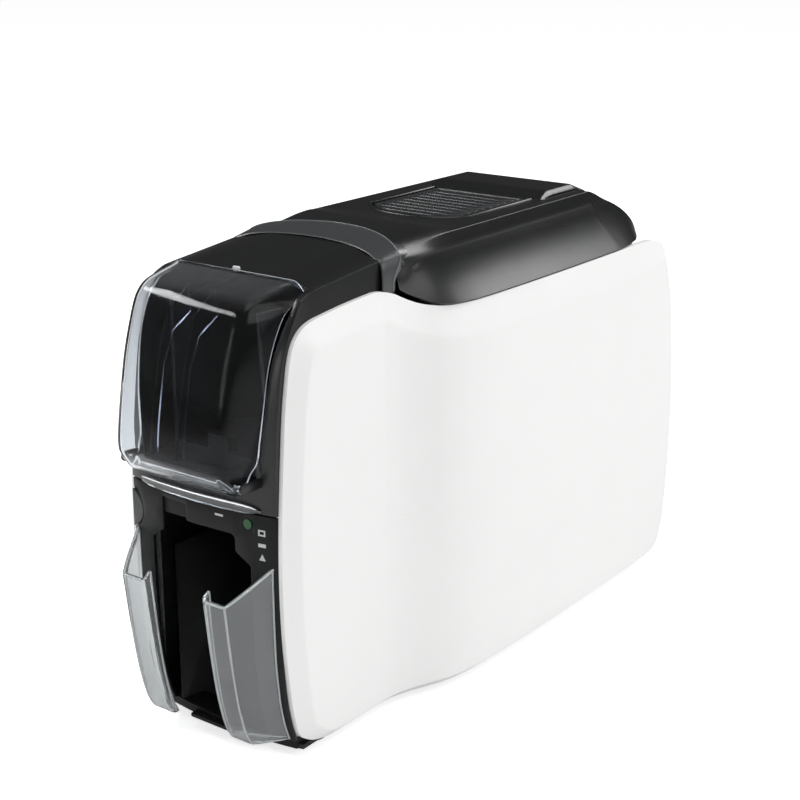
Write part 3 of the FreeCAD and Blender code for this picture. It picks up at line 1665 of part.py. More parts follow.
def cover_stations():
    """Distance back, skirt half width and skirt height, top and crease half widths."""
    rows = []
    for distance, half, top, _ in wave_stations():
        if float(distance) > float(L.cover_corner_back):
            continue
        if float(distance) <= float(L.cover_front_back):
            continue
        rows.append((distance, half - L.bevel_inset + L.cover_skirt_inset, top + L.cover_skirt_gap))
    front_half = L.core_half_width + L.collar_thickness
    first = (L.cover_front_back, front_half, L.collar_foot - L.cover_skirt_gap)
    corner = (L.cover_corner_back, rows[-1][1], rows[-1][2])
    run = L.cover_rear_back - L.cover_corner_back
    narrowing = rows[-1][1] - L.cover_rear_half_width
    tail = [(L.cover_corner_back + run * along, rows[-1][1] - narrowing * share, rows[-1][2])
            for along, share in COVER_CORNER_SHARES]
    return [first, *rows, corner, *tail]


def cover_section(row, wall):
    """Across the cover at one station; with a wall, the hollow, which runs on below the foot."""
    distance, half, foot = row
    y = back(distance)
    edge = L.cover_edge_half_width
    crease = L.cover_crease_half_width
    drop = L.overrun if wall else 0
    widening = float(drop) / float(L.cover_crease_height - foot)
    right = [
        (edge - wall * 0.5, y, L.cover_top - wall),
        (crease - wall * 1.3, y, L.cover_crease_height - wall * 0.2),
        (half - wall * 1.3 + (half - crease) * widening, y, foot - drop),
    ]
    return right + [(-x, y_at, z) for x, y_at, z in reversed(right)]


def cover_side(wall):
    """Side outline of the top cover as a prism, smaller all round by the wall."""
    marks = [
        (L.cover_front_back - L.overrun, L.cover_top - L.overrun * 3),
        (L.cover_front_back - L.overrun, L.cover_top + L.overrun),
        (L.cap_rear_back, L.cover_top + L.overrun),
    ]
    run = L.cover_rear_back - L.cap_rear_back
    drop = L.cover_top - L.panel_rear_top - L.cover_skirt_gap
    for along, share in COVER_TAIL_SHARES:
        marks.append((L.cap_rear_back + run * along - wall, L.cover_top - drop * share - wall * 0.8))
    marks.append((L.cover_rear_back - wall, L.cover_top - L.overrun * 3))
    corners = [(-L.rear_half_width, back(distance), height) for distance, height in marks]
    face = Part.Face(wire(corners))
    return face.extrude(Vector(float(L.rear_half_width) * 2, 0, 0))


def button_outline(x_grow, grow):
    """Plan of the release button: an arched front edge and a straight rear one."""
    half = L.button_half_width + x_grow
    z = L.cover_top - L.overrun * 2
    front = back(L.button_front_back - grow)
    cheek = back(L.button_cheek_back - grow * 0.3)
    rear = back(L.button_rear_back + grow)
    edges = [
        line((-half, rear, z), (-half, cheek, z)),
        arc((-half, cheek, z), (0, front, z), (half, cheek, z)),
        line((half, cheek, z), (half, rear, z)),
        line((half, rear, z), (-half, rear, z)),
    ]
    return Part.Face(Part.Wire(edges))


def hood():
    """Raised front of the cover: level behind the collar, then down to the flat top."""
    low = L.cover_top - L.shell_wall / 2
    front = back(L.cover_front_back)
    rear = back(L.hood_rear_back)
    side = [
        (front, low), (front, L.hood_top), (back(L.hood_crest_back), L.hood_top),
        (rear, L.cover_top), (rear, low),
    ]
    length = Part.Face(wire([(-L.hood_half_width, y, z) for y, z in side]))
    length = length.extrude(Vector(float(L.hood_half_width) * 2, 0, 0))
    across = [
        (-L.hood_half_width, low), (L.hood_half_width, low), (L.hood_half_width, L.cover_top),
        (L.hood_top_half_width, L.hood_top), (-L.hood_top_half_width, L.hood_top),
        (-L.hood_half_width, L.cover_top),
    ]
    width = Part.Face(wire([(x, front, z) for x, z in across]))
    width = width.extrude(Vector(0, float(rear - front), 0))
    return length.common(width).cut(collar_slice(L.collar_band + L.seat_gap))


def cover_shell():
    outer = skin([cover_section(row, 0) for row in cover_stations()])
    inner = skin([cover_section(row, L.shell_wall) for row in cover_stations()])
    shell = outer.common(cover_side(0)).cut(inner.common(cover_side(L.shell_wall)))
    shell = shell.fuse(hood())
    well = button_outline(L.button_clearance, L.button_clearance)
    shell = shell.cut(well.extrude(Vector(0, 0, float(L.overrun) * 4)))
    node(formed("cover_shell", shell.removeSplitter()))


def arch(grow):
    """Outline of the collar's arch over the housing, from the front."""
    half = L.collar_half_width + grow
    edge = L.facet_front_half_width
    shoulder = L.housing_rear_top + L.collar_gap - L.facet_drop * 0.6
    top = L.housing_rear_top + L.collar_gap
    y = back(L.collar_front_back - L.overrun)
    return [
        (-half, y, L.collar_foot - grow * 8),
        (-half, y, shoulder - L.facet_drop + grow),
        (-half + L.facet_drop, y, shoulder + grow),
        (-edge, y, top + grow),
        (edge, y, top + grow),
        (half - L.facet_drop, y, shoulder + grow),
        (half, y, shoulder - L.facet_drop + grow),
        (half, y, L.collar_foot - grow * 8),
    ]


def collar_slice(band):
    """Upright slice from the collar's arched front edge to the band's width behind it."""
    z = L.collar_foot
    half = L.collar_half_width + L.collar_thickness * 2
    front = back(L.collar_front_back)
    middle = back(L.collar_front_back + L.collar_bulge)
    edges = [
        arc((-half, front, z), (0, middle, z), (half, front, z)),
        line((half, front, z), (half, front + band, z)),
        arc((half, front + band, z), (0, middle + band, z), (-half, front + band, z)),
        line((-half, front + band, z), (-half, front, z)),
    ]
    return Part.Face(Part.Wire(edges)).extrude(Vector(0, 0, float(L.overrun) * 2))


def cover_collar():
    """Trim band that arches over the housing at the cover's front edge."""
    depth = Vector(0, float(L.overrun) * 4, 0)
    outer = Part.Face(wire(arch(L.collar_thickness))).extrude(depth)
    inner = Part.Face(wire(arch(0))).extrude(depth)
    band = outer.cut(inner)
    band = band.common(collar_slice(L.collar_band))
    outer_cover = skin([cover_section(row, 0) for row in cover_stations()])
    node(formed("cover_collar", band.cut(outer_cover).removeSplitter()))


def cover_cap():
    """Raised cap behind the release button."""
    top_half = L.cap_top_half_width
    low = L.cover_top
    side = [
        (back(L.cap_front_back), low),
        (back(L.cap_crease_back), L.cap_crease_height),
        (back(L.cap_top_back), L.cap_top),
        (back(L.cap_rear_back), L.cap_top),
        (back(L.cap_rear_back), low),
    ]
    block = plate("cap_block", "YZ", -L.cap_half_width, L.cap_half_width, side)
    keep = plate("cap_keep", "XZ", back(L.cap_front_back - L.overrun), back(L.cap_rear_back + L.overrun), [
        (-L.cap_half_width, low), (L.cap_half_width, low), (top_half, L.cap_top),
        (-top_half, L.cap_top),
    ])
    node(common("cover_cap", block, keep))


def cover_frame():
    """Plate under the cover that carries the print head, the latch and the hinge arms."""
    low = L.cover_plate_height
    high = low + L.cover_plate_thickness
    front = back(L.cover_plate_front_back)
    rear = back(L.cover_plate_rear_back)
    half = L.cover_plate_half_width
    arm_in = L.ear_half_span + L.ear_width + L.seat_gap
    arm_out = arm_in + L.hinge_arm_width
    slot = rectangle(both_sides(L.hook_half_width + L.lug_width / 2),
                     (back(L.hook_pivot_back - L.lever_reach - L.card_room),
                      back(L.hook_pivot_back + L.hook_arm + L.card_room)))
    sheet = plate("cover_sheet", "XY", low, high, [
        (-half, front), (half, front), (half, back(L.cover_rear_post_back)),
        (arm_out, back(L.cover_rear_post_back)), (arm_out, rear), (-arm_out, rear),
        (-arm_out, back(L.cover_rear_post_back)), (-half, back(L.cover_rear_post_back)),
    ], [slot])
    pieces = [sheet]
    for name, side in (("left", -1), ("right", 1)):
        inner = arm_in * side
        span = sorted((inner, arm_out * side), key=float)
        pieces.append(plate(f"{name}_hinge_arm", "YZ", span[0], span[1], [
            (rear - L.hinge_arm_radius * 2, high),
            (rear - L.hinge_arm_radius * 2, low),
            (back(L.hinge_back) - L.hinge_arm_radius, L.hinge_height),
            (back(L.hinge_back) - L.hinge_arm_radius * 0.5, L.hinge_height - L.hinge_arm_radius * 0.87),
            (back(L.hinge_back) + L.hinge_arm_radius * 0.5, L.hinge_height - L.hinge_arm_radius * 0.87),
            (back(L.hinge_back) + L.hinge_arm_radius * 0.8, L.hinge_height),
            (back(L.hinge_back) + L.hinge_arm_radius * 0.2, L.hinge_height + L.hinge_arm_radius * 0.9),
            (rear, high),
        ], circles=[(back(L.hinge_back), L.hinge_height, L.hinge_pin_radius + L.running_gap)]))
        for place_name, distance in (("front", L.cover_front_post_back), ("rear", L.cover_rear_post_back)):
            across = L.cover_post_across * side
            pieces.append(rod(f"{name}_{place_name}_post", "Z", high, L.cover_top - L.shell_wall,
                              (across, back(distance)), L.cover_post_radius))
        leg_in = L.head_half_width + L.seat_gap
        leg = sorted((leg_in * side, (leg_in + L.clear_wall) * side), key=float)
        pieces.append(box(f"{name}_head_leg", leg,
                          (back(L.platen_back - L.head_depth / 2), back(L.platen_back + L.head_depth / 2)),
                          (L.head_level + L.head_thickness * 2, low)))
        lug_in = L.hook_half_width + L.seat_gap
        lug = sorted((lug_in * side, (lug_in + L.lug_width) * side), key=float)
        pieces.append(box(f"{name}_hook_lug", lug,
                          (back(L.hook_pivot_back - L.hook_arm / 2),
                           back(L.hook_pivot_back + L.hook_arm / 2)),
                          (L.hook_pivot_height - L.hook_arm / 2, low)))
        spring_low = sink_top_height() + L.head_spring_length + L.seat_gap
        pieces.append(rod(f"{name}_head_post", "Z", spring_low, low,
                          (L.head_spring_across * side, back(L.platen_back)), L.head_post_radius))
    pin_reach = L.hook_half_width + L.seat_gap + L.lug_width
    pieces.append(rod("hook_pin", "X", -pin_reach, pin_reach,
                      (back(L.hook_pivot_back), L.hook_pivot_height), L.hook_pin_radius))
    node(fuse("cover_frame", *pieces))


def latch_hook():
    """Swinging hook under the release button that holds the latch bar."""
    pivot = back(L.hook_pivot_back)
    height = L.hook_pivot_height
    half = L.hook_arm / 2
    barb_top = L.latch_bar_height - L.rod_radius - L.seat_gap
    barb_low = barb_top - L.hook_barb_height
    front = back(L.latch_bar_back) + L.rod_radius + L.seat_gap
    rear = pivot + half
    node(plate("latch_hook", "YZ", -L.hook_half_width, L.hook_half_width, [
        (pivot - L.lever_reach, height + half),
        (pivot - L.lever_reach, height + half - L.lever_height),
        (front + L.seat_gap, height + half - L.lever_height),
        (front, barb_top),
        (front - L.hook_barb, barb_top),
        (front - L.hook_barb * 0.6, barb_low),
        (rear, barb_low),
        (rear, height + half),
    ], circles=[(pivot, height, L.hook_pin_radius + L.running_gap)]))


def release_button():
    """Ribbed press pad with a raised rim and a leg that pushes the hook's lever."""
    lift = L.button_top - L.button_thickness
    face = button_outline(0, 0)
    start = float(lift - (L.cover_top - L.overrun * 2))
    pad = face.translated(Vector(0, 0, start)).extrude(Vector(0, 0, float(L.button_thickness)))
    dish = button_outline(-L.button_rim, -L.button_rim)
    up = float(L.button_top - L.button_dish - (L.cover_top - L.overrun * 2))
    pad = pad.cut(dish.translated(Vector(0, 0, up)).extrude(Vector(0, 0, float(L.overrun))))
    ribs = []
    for number in range(RIB_COUNT):
        distance = L.button_rear_back - L.button_rim - L.rib_pitch * (number + 0.5)
        ribs.append(rib_bar(distance))
    reach = dish.translated(Vector(0, 0, up)).extrude(Vector(0, 0, float(L.button_dish)))
    pad = pad.fuse([rib.common(reach) for rib in ribs])
    hollow_face = button_outline(-L.shell_wall, -L.shell_wall)
    hollow = hollow_face.translated(Vector(0, 0, start - float(L.overrun)))
    hollow_depth = L.button_thickness - L.button_dish - L.shell_wall
    pad = pad.cut(hollow.extrude(Vector(0, 0, float(L.overrun + hollow_depth))))
    leg_top = L.button_top - L.button_dish - L.shell_wall / 2
    leg_low = L.hook_pivot_height + L.hook_arm / 2 + L.seat_gap * 2
    leg_back = L.hook_pivot_back - L.lever_reach + L.shell_wall
    base = point(-L.hook_half_width + L.seat_gap, back(leg_back) - L.shell_wall / 2, leg_low)
    leg = Part.makeBox(float(L.hook_half_width - L.seat_gap) * 2, float(L.shell_wall),
                       float(leg_top - leg_low), base)
    node(formed("release_button", pad.fuse(leg).removeSplitter()))


def rib_bar(distance):
    half = L.button_half_width
    base = point(-half, back(distance) - L.rib_width / 2, L.button_top - L.button_dish - L.rib_width)
    return Part.makeBox(float(half) * 2, float(L.rib_width), float(L.button_dish + L.rib_width), base)


def button_springs():
    low = L.cover_plate_height + L.cover_plate_thickness + L.seat_gap / 2
    high = L.button_top - L.button_dish - L.shell_wall - L.seat_gap / 2
    springs = [coil(L.spring_across * side, back(L.spring_back), low, high,
                    L.spring_radius, L.spring_wire) for side in (-1, 1)]
    node(formed("button_springs", Part.makeCompound(springs)))


def main_board():
    low = L.board_across
    high = low + L.board_thickness
    span = (back(L.board_back - L.board_half_length), back(L.board_back + L.board_half_length))
    sheet = box("board_sheet", (low, high), span, (L.board_bottom, L.board_top))
    length = L.board_half_length
    tall = L.board_top - L.board_bottom
    chips = []
    for number, (along, up, wide, high_share) in enumerate(CHIP_SHARES):
        y = back(L.board_back) + length * along
        z = L.board_bottom + tall * up
        chips.append(box(f"chip_{number}", (high, high + L.chip_thickness),
                         (y, y + length * wide), (z, z + tall * high_share)))
    node(fuse("main_board", sheet, *chips))


def tail_profile():
    """The rear panel's outer face from the side, inside the side panels' tails."""
    marks = [
        (L.heel_back - L.heel_corner, L.foot_height + L.shell_wall),
        (L.heel_back, L.heel_height),
        (L.body_depth, L.socket_level - L.network_height),
        (L.body_depth, L.fan_level + L.fan_size / 2 + L.network_height),
        (L.crown_back, L.frame_top),
        (L.rear_top_back, L.rear_top_height),
    ]
    return [(back(distance - L.rear_wall_inset), height) for distance, height in marks]


def rear_panel():
    half = L.rear_half_width - L.bevel_inset - L.panel_lip - L.seat_gap
    outer = tail_profile()
    inner = [(y - L.shell_wall, z) for y, z in outer]
    band = plate("rear_band", "YZ", -half, half, outer + inner[::-1])
    rear = back(L.body_depth)
    span = (rear - L.overrun, rear + L.overrun)
    tools = []
    for name, across, wide, tall in socket_rows():
        tools.append(box(f"{name}_cutout", (across - wide / 2 - L.seat_gap, across + wide / 2 + L.seat_gap),
                         span, (L.socket_level - tall / 2 - L.seat_gap,
                                L.socket_level + tall / 2 + L.seat_gap)))
    for number in range(VENT_COUNT):
        offset = L.vent_pitch * (number - (VENT_COUNT - 1) / 2)
        height = L.fan_level + offset
        tools.append(box(f"vent_{number}", (L.fan_across - L.fan_bore, L.fan_across + L.fan_bore),
                         span, (height - L.vent_width / 2, height + L.vent_width / 2)))
    node(cut("rear_panel", band, *tools))


def socket_rows():
    return (
        ("power_inlet", L.inlet_across, L.inlet_width, L.inlet_height),
        ("usb_socket", L.usb_across, L.usb_width, L.usb_height),
        ("network_socket", L.network_across, L.network_width, L.network_height),
    )


def sockets():
    rear = back(L.body_depth - L.rear_wall_inset)
    for name, across, wide, tall in socket_rows():
        level = L.socket_level
        block = box(name + "_block", (across - wide / 2, across + wide / 2),
                    (rear - L.socket_depth, rear), (level - tall / 2, level + tall / 2))
        wall = L.socket_wall
        hollow = box(name + "_hollow", (across - wide / 2 + wall, across + wide / 2 - wall),
                     (rear - L.socket_cavity, rear + L.overrun),
                     (level - tall / 2 + wall, level + tall / 2 - wall))
        node(cut(name, block, hollow))


def fan():
    rear = back(L.body_depth - L.rear_wall_inset) - L.shell_wall - L.seat_gap
    front = rear - L.fan_thickness
    half = L.fan_size / 2
    x = L.fan_across
    level = L.fan_level
    block = box("fan_block", (x - half, x + half), (front, rear), (level - half, level + half))
    bore = rod("fan_bore", "Y", front - L.overrun, rear + L.overrun, (x, level), L.fan_bore)
    ring = cut("fan_ring", block, bore)
    spokes = [
        box("fan_spoke_across", (x - L.fan_bore - L.sheet_wall, x + L.fan_bore + L.sheet_wall),
            (front, front + L.sheet_wall), (level - L.fan_hub / 4, level + L.fan_hub / 4)),
        rod("fan_hub_plate", "Y", front, front + L.sheet_wall, (x, level), L.fan_hub),
    ]
    node(fuse("fan_frame", ring, *spokes))
    start = front + L.sheet_wall + L.seat_gap
    end = rear - L.seat_gap
    solid = Part.makeCylinder(float(L.fan_hub), float(end - start), point(x, start, level), Vector(0, 1, 0))
    tip = float(L.fan_bore - L.fan_tip_gap)
    for number in range(FAN_BLADES):
        blade = Part.makeBox(tip, float(end - start), float(L.blade_thickness),
                             Vector(0, 0, -float(L.blade_thickness) / 2))
        blade.rotate(Vector(0, float(end - start) / 2, 0), Vector(1, 0, 0), BLADE_PITCH)
        blade.rotate(Vector(), Vector(0, 1, 0), 360 * number / FAN_BLADES)
        blade.translate(point(x, start, level))
        solid = solid.fuse(blade)
    reach = Part.makeCylinder(tip, float(end - start), point(x, start, level), Vector(0, 1, 0))
    node(formed("fan_rotor", solid.common(reach).removeSplitter()))


def case_screws():
    heads = []
    rear = back(L.body_depth - L.rear_wall_inset)
    for name, across in (("rear_left", -L.screw_across), ("rear_right", L.screw_across)):
        heads.append(rod(f"{name}_screw", "Y", rear, rear + L.screw_head,
                         (across, L.fan_level), L.screw_radius))
    for name, across, distance in (
        ("base_front_left", -L.frame_half_span / 2, L.front_feet_back),
        ("base_front_right", L.frame_half_span / 2, L.front_feet_back),
        ("base_rear_left", -L.frame_half_span / 2, L.rear_feet_back),
        ("base_rear_right", L.frame_half_span / 2, L.rear_feet_back),
    ):
        heads.append(rod(f"{name}_screw", "Z", L.foot_height - L.screw_head, L.foot_height,
                         (across, back(distance)), L.screw_radius))
    node(group("case_screws", *heads))


def build():
    side_panels()
    base_tray()
    rubber_feet()
    lower_bezel()
    light_bar()
    status_lens()
    power_button()
    feeder_housing()
    feeder_door()
    output_guards()
    output_bin()
    frame_plates()
    frame_rods()
    card_hopper()
    card_weight()
    pick_assembly()
    cleaning_roller()
    platen_assembly()
    exit_roller()
    exit_chute()
    path_guide()
    tilt_deck()
    deck_rollers()
    drive_train()
    drive_belt()
    inner_deck()
    cartridge()
    ribbon_film()
    print_head()
    head_springs()
    cover_shell()
    cover_collar()
    cover_cap()
    cover_frame()
    latch_hook()
    release_button()
    button_springs()
    main_board()
    rear_panel()
    sockets()
    fan()
    case_screws()


def check_document():
    doc.recompute()
    failed = [item.Label for item in doc.Objects
              if "Invalid" in item.State or "Error" in item.State]
    if failed:
        raise RuntimeError("failed to recompute: " + ", ".join(failed))
    for item in NODES:
        if item.Shape.isNull() or not item.Shape.isValid() or not item.Shape.Solids:
            raise RuntimeError("no valid solid: " + item.Label)


def export():
    os.makedirs("parts", exist_ok=True)
    for item in NODES:
        item.Shape.exportStep(f"parts/{item.Label}.step")
        print(item.Label, len(item.Shape.Solids), round(item.Shape.Volume))


build()
check_document()
export()
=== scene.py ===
"""Looks of a slim desktop id card printer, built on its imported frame.

Lengths are in millimetres until a mesh is made. Distances back are counted from the front
plane of the black core, heights from the table, and x from the middle, to the viewer's right.
"""

import json
import math

import bmesh
import bpy
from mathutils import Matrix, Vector


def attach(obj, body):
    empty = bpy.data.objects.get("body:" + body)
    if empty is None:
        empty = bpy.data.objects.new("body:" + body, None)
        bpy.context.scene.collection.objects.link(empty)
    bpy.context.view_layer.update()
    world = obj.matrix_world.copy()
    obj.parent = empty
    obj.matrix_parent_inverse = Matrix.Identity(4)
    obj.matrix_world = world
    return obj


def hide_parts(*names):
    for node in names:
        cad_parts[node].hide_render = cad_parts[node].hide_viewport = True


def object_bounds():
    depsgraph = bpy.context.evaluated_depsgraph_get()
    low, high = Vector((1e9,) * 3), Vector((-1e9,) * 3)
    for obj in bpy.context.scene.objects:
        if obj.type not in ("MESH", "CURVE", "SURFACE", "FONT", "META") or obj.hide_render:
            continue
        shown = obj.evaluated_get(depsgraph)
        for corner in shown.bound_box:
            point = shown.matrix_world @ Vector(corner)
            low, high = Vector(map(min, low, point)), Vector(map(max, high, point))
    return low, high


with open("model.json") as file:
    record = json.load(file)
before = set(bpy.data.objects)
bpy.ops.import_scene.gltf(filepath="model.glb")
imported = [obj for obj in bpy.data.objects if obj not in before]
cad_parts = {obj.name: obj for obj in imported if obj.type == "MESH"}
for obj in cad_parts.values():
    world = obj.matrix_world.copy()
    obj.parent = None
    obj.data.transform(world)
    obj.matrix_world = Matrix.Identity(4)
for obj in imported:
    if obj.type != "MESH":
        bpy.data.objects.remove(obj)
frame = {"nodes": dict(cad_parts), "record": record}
frame_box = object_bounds()

MM = 0.001
GUARD_REACH = 21.8
FRONT = frame_box[0][1] / MM + GUARD_REACH

CHASSIS = "chassis"
COVER = "top_cover"
DOOR_BODY = "feeder_door_body"
SIDES = ((-1, "left"), (1, "right"))

# Helper functions

SMOOTH_ANGLE = 40
WELD = 0.01


def at(x, back, up):
    """Point of the frame, in metres, for a place in millimetres."""
    return Vector((x, FRONT + back, up)) * MM


def mix(a, b, share):
    return a + (b - a) * share


def spread(low, high, count):
    """Evenly spaced values from the low one to the high one."""
    return [mix(low, high, step / (count - 1)) for step in range(count)]


def clamp(value, low=0.0, high=1.0):
    return max(low, min(high, value))


def soft(share):
    """Smooth step from 0 to 1."""
    share = clamp(share)
    return share * share * (3 - 2 * share)


def fade(value, start, end):
    """Smooth step that is 0 before the start and 1 beyond the end."""
    return soft((value - start) / (end - start))


def table(rows, key, column=1):
    """Value of a column where the first column has the key, on a smooth monotone curve."""
    xs = [row[0] for row in rows]
    ys = [row[column] for row in rows]
    if key <= xs[0]:
        return ys[0]
    if key >= xs[-1]:
        return ys[-1]
    slopes = [(ys[i + 1] - ys[i]) / (xs[i + 1] - xs[i]) for i in range(len(xs) - 1)]
    tangents = [slopes[0]]
    for before, after in zip(slopes, slopes[1:]):
        same_way = before * after > 0
        tangents.append(2 * before * after / (before + after) if same_way else 0.0)
    tangents.append(slopes[-1])
    i = max(index for index, x in enumerate(xs[:-1]) if x <= key)
    run = xs[i + 1] - xs[i]
    t = (key - xs[i]) / run
    return (ys[i] * (1 + 2 * t) * (1 - t) ** 2 + tangents[i] * run * t * (1 - t) ** 2
            + ys[i + 1] * t * t * (3 - 2 * t) + tangents[i + 1] * run * t * t * (t - 1))


def spline(points, per_span, closed=False):
    """Points on a smooth curve through the given ones."""
    count = len(points)
    spans = count if closed else count - 1
    found = []
    for i in range(spans):
        quad = []
        for step in (-1, 0, 1, 2):
            j = i + step
            quad.append(points[j % count] if closed else points[max(0, min(count - 1, j))])
        for part in range(per_span):
            t = part / per_span
            found.append(tuple(
                0.5 * (2 * b + (c - a) * t + (2 * a - 5 * b + 4 * c - d) * t * t
                       + (3 * b - a - 3 * c + d) * t ** 3)
                for a, b, c, d in zip(*quad)))
    if not closed:
        found.append(tuple(points[-1]))
    return found


def corner(before, middle, after, reach, steps=6):
    """Rounded corner between two straight runs."""
    before, middle, after = Vector(before), Vector(middle), Vector(after)
    start = middle + (before - middle).normalized() * reach
    end = middle + (after - middle).normalized() * reach
    return [tuple(start * (1 - t) ** 2 + middle * 2 * t * (1 - t) + end * t * t)
            for t in spread(0, 1, steps + 1)]


def both_sides(half):
    """A line from left to right whose right half, from the middle out, has the given points."""
    return [(-x, *rest) for x, *rest in reversed(half[1:])] + list(half)


def neighbours(line, closed=False):
    """The points before and after each point of a line."""
    first, last = (line[-1], line[0]) if closed else (line[0], line[-1])
    return zip([first, *line[:-1]], [*line[1:], last])


def crossways(line, closed=False):
    """Direction square to a flat line at each of its points, to the right of its run."""
    runs = [(Vector(after) - Vector(before)).normalized()
            for before, after in neighbours(line, closed)]
    return [Vector((run.y, -run.x)) for run in runs]


def arc(centre, radius, start, end, steps):
    """Points round a centre from one angle to another."""
    return [(centre[0] + radius * math.cos(turn), centre[1] + radius * math.sin(turn))
            for turn in spread(start, end, steps + 1)]


def circle(centre, radius, count):
    return arc(centre, radius, 0, 2 * math.pi, count)[:-1]


def added(name, data):
    """A new object of the scene."""
    thing = bpy.data.objects.new(name, data)
    bpy.context.scene.collection.objects.link(thing)
    return thing


def mesh_piece(name, points, faces, material, smooth_angle=SMOOTH_ANGLE):
    """A mesh object whose points are given in millimetres."""
    mesh = bpy.data.meshes.new(name)
    mesh.from_pydata([at(*point) for point in points], [], faces)
    mesh.validate()
    piece = added(name, mesh)
    piece.data.materials.append(material)
    tidy_normals(piece)
    shade(piece, smooth_angle)
    return piece


def tidy_normals(piece):
    """Welds points that coincide and turns every face outward."""
    form = bmesh.new()
    form.from_mesh(piece.data)
    bmesh.ops.remove_doubles(form, verts=form.verts, dist=WELD * MM)
    bmesh.ops.recalc_face_normals(form, faces=form.faces)
    form.to_mesh(piece.data)
    form.free()


def shade(piece, angle=SMOOTH_ANGLE):
    """Smooth shading that keeps edges sharper than the angle, in degrees."""
    piece.data.polygons.foreach_set("use_smooth", [True] * len(piece.data.polygons))
    piece.data.set_sharp_from_angle(angle=math.radians(angle))


def grid_faces(rows, columns, closed=False):
    """Four-sided faces between rows of points."""
    faces = []
    for row in range(rows - 1):
        for column in range(columns if closed else columns - 1):
            after = (column + 1) % columns
            faces.append((row * columns + column, row * columns + after,
                          (row + 1) * columns + after, (row + 1) * columns + column))
    return faces


def grid_piece(name, rows, material, closed=True, caps=True, smooth_angle=SMOOTH_ANGLE):
    """A piece whose surface runs through rows of points: round, with closed ends, or open."""
    columns = len(rows[0])
    faces = grid_faces(len(rows), columns, closed)
    if closed and caps:
        last = (len(rows) - 1) * columns
        faces.append(tuple(range(columns))[::-1])
        faces.append(tuple(last + column for column in range(columns)))
    points = [point for row in rows for point in row]
    return mesh_piece(name, points, faces, material, smooth_angle)


def settle(piece):
    """Turns the piece's modifiers into plain mesh."""
    graph = bpy.context.evaluated_depsgraph_get()
    mesh = bpy.data.meshes.new_from_object(piece.evaluated_get(graph))
    old = piece.data
    piece.modifiers.clear()
    piece.data = mesh
    bpy.data.meshes.remove(old)
    mesh.name = piece.name
    shade(piece)


def thicken(piece, wall):
    """Gives a surface its wall, on the inner side."""
    solid = piece.modifiers.new("wall", "SOLIDIFY")
    solid.thickness = wall * MM
    solid.offset = -1.0
    settle(piece)


def round_edges(piece, width, segments, angle):
    """Rounds the edges that are sharper than the angle, in degrees."""
    bevel = piece.modifiers.new("rounded edges", "BEVEL")
    bevel.width = width * MM
    bevel.segments = segments
    bevel.limit_method = "ANGLE"
    bevel.angle_limit = math.radians(angle)
    settle(piece)


def cut_out(piece, cutter):
    """Takes a closed cutter out of a closed piece."""
    cut = piece.modifiers.new("cut", "BOOLEAN")
    cut.operation = "DIFFERENCE"
    cut.solver = "EXACT"
    cut.object = cutter
    settle(piece)
    bpy.data.objects.remove(cutter, do_unlink=True)


def carve(piece, *cutters):
    """Takes several cutters out of a piece and tidies what is left."""
    for cutter in cutters:
        cut_out(piece, cutter)
    tidy_normals(piece)
    shade(piece)


def place_on(axis, u, v, along):
    """A place given across and along an axis, as x, back and up."""
    return {"X": (along, u, v), "Y": (u, along, v), "Z": (u, v, along)}[axis]


def prism(name, outline, low, high, axis, material):
    """A closed prism: the outline lies across the axis and runs from low to high."""
    count = len(outline)
    points = [place_on(axis, u, v, along) for along in (low, high) for u, v in outline]
    faces = [tuple(range(count)), tuple(range(2 * count - 1, count - 1, -1))]
    faces += [(i, (i + 1) % count, count + (i + 1) % count, count + i) for i in range(count)]
    return mesh_piece(name, points, faces, material)


def rectangle(across, along):
    (left, right), (low, high) = across, along
    return [(left, low), (right, low), (right, high), (left, high)]


def block(name, x, back, up, material, rounding):
    """A box between three pairs of sizes, with rounded edges."""
    piece = prism(name, rectangle(x, back), *up, "Z", material)
    round_edges(piece, rounding, 3, 35)
    return piece


def rod(name, radius, ends, centre, axis, material, count=48):
    """A round bar between two places along its axis."""
    rows = [[place_on(axis, u, v, along) for u, v in circle(centre, radius, count)]
            for along in ends]
    return grid_piece(name, rows, material, smooth_angle=35)


def bead(name, path, radius, upright, material):
    """A thin round line along a path, which runs up or across."""
    aside = Vector((1, 0.3, 0)) if upright else Vector((0, 0.3, 1))
    rows = []
    for point, (before, after) in zip(path, neighbours(path)):
        along = (Vector(after) - Vector(before)).normalized()
        across = along.cross(aside).normalized()
        other = along.cross(across)
        rows.append([tuple(Vector(point) + (across * u + other * v) * radius)
                     for u, v in circle((0, 0), 1, 8)])
    return grid_piece(name, rows, material, smooth_angle=60)


def finish(piece, body, slot, *nodes):
    """Hangs the piece on its body, in place of the CAD nodes that it stands for."""
    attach(piece, body)
    if nodes:
        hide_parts(*nodes)


def finish_pair(right, slot, *nodes):
    """Hangs a right-hand piece on the chassis, and its mirror image on the left side."""
    left = added(right.name.replace("right", "left"), right.data.copy())
    for vertex in left.data.vertices:
        vertex.co.x = -vertex.co.x
    left.data.flip_normals()
    finish(right, CHASSIS, slot, *nodes)
    finish(left, CHASSIS, slot, *[node.replace("right", "left") for node in nodes])


# Materials: the depth of their grain is in metres

NOISE_RANGE = (0.3, 0.7)
CLOUDS = 28
GLOSS_PATCHES = 60
FLOW_MARKS = 35
DRAWN_LINES = 300
WORLD_LIGHT = 0.34
WORLD_GLOSS = 0.05
WORLD_THROUGH = 0.75
FLOOR_LIFT = 0.7


def setup(node, settings):
    for name, value in settings.items():
        node.inputs[name].default_value = value


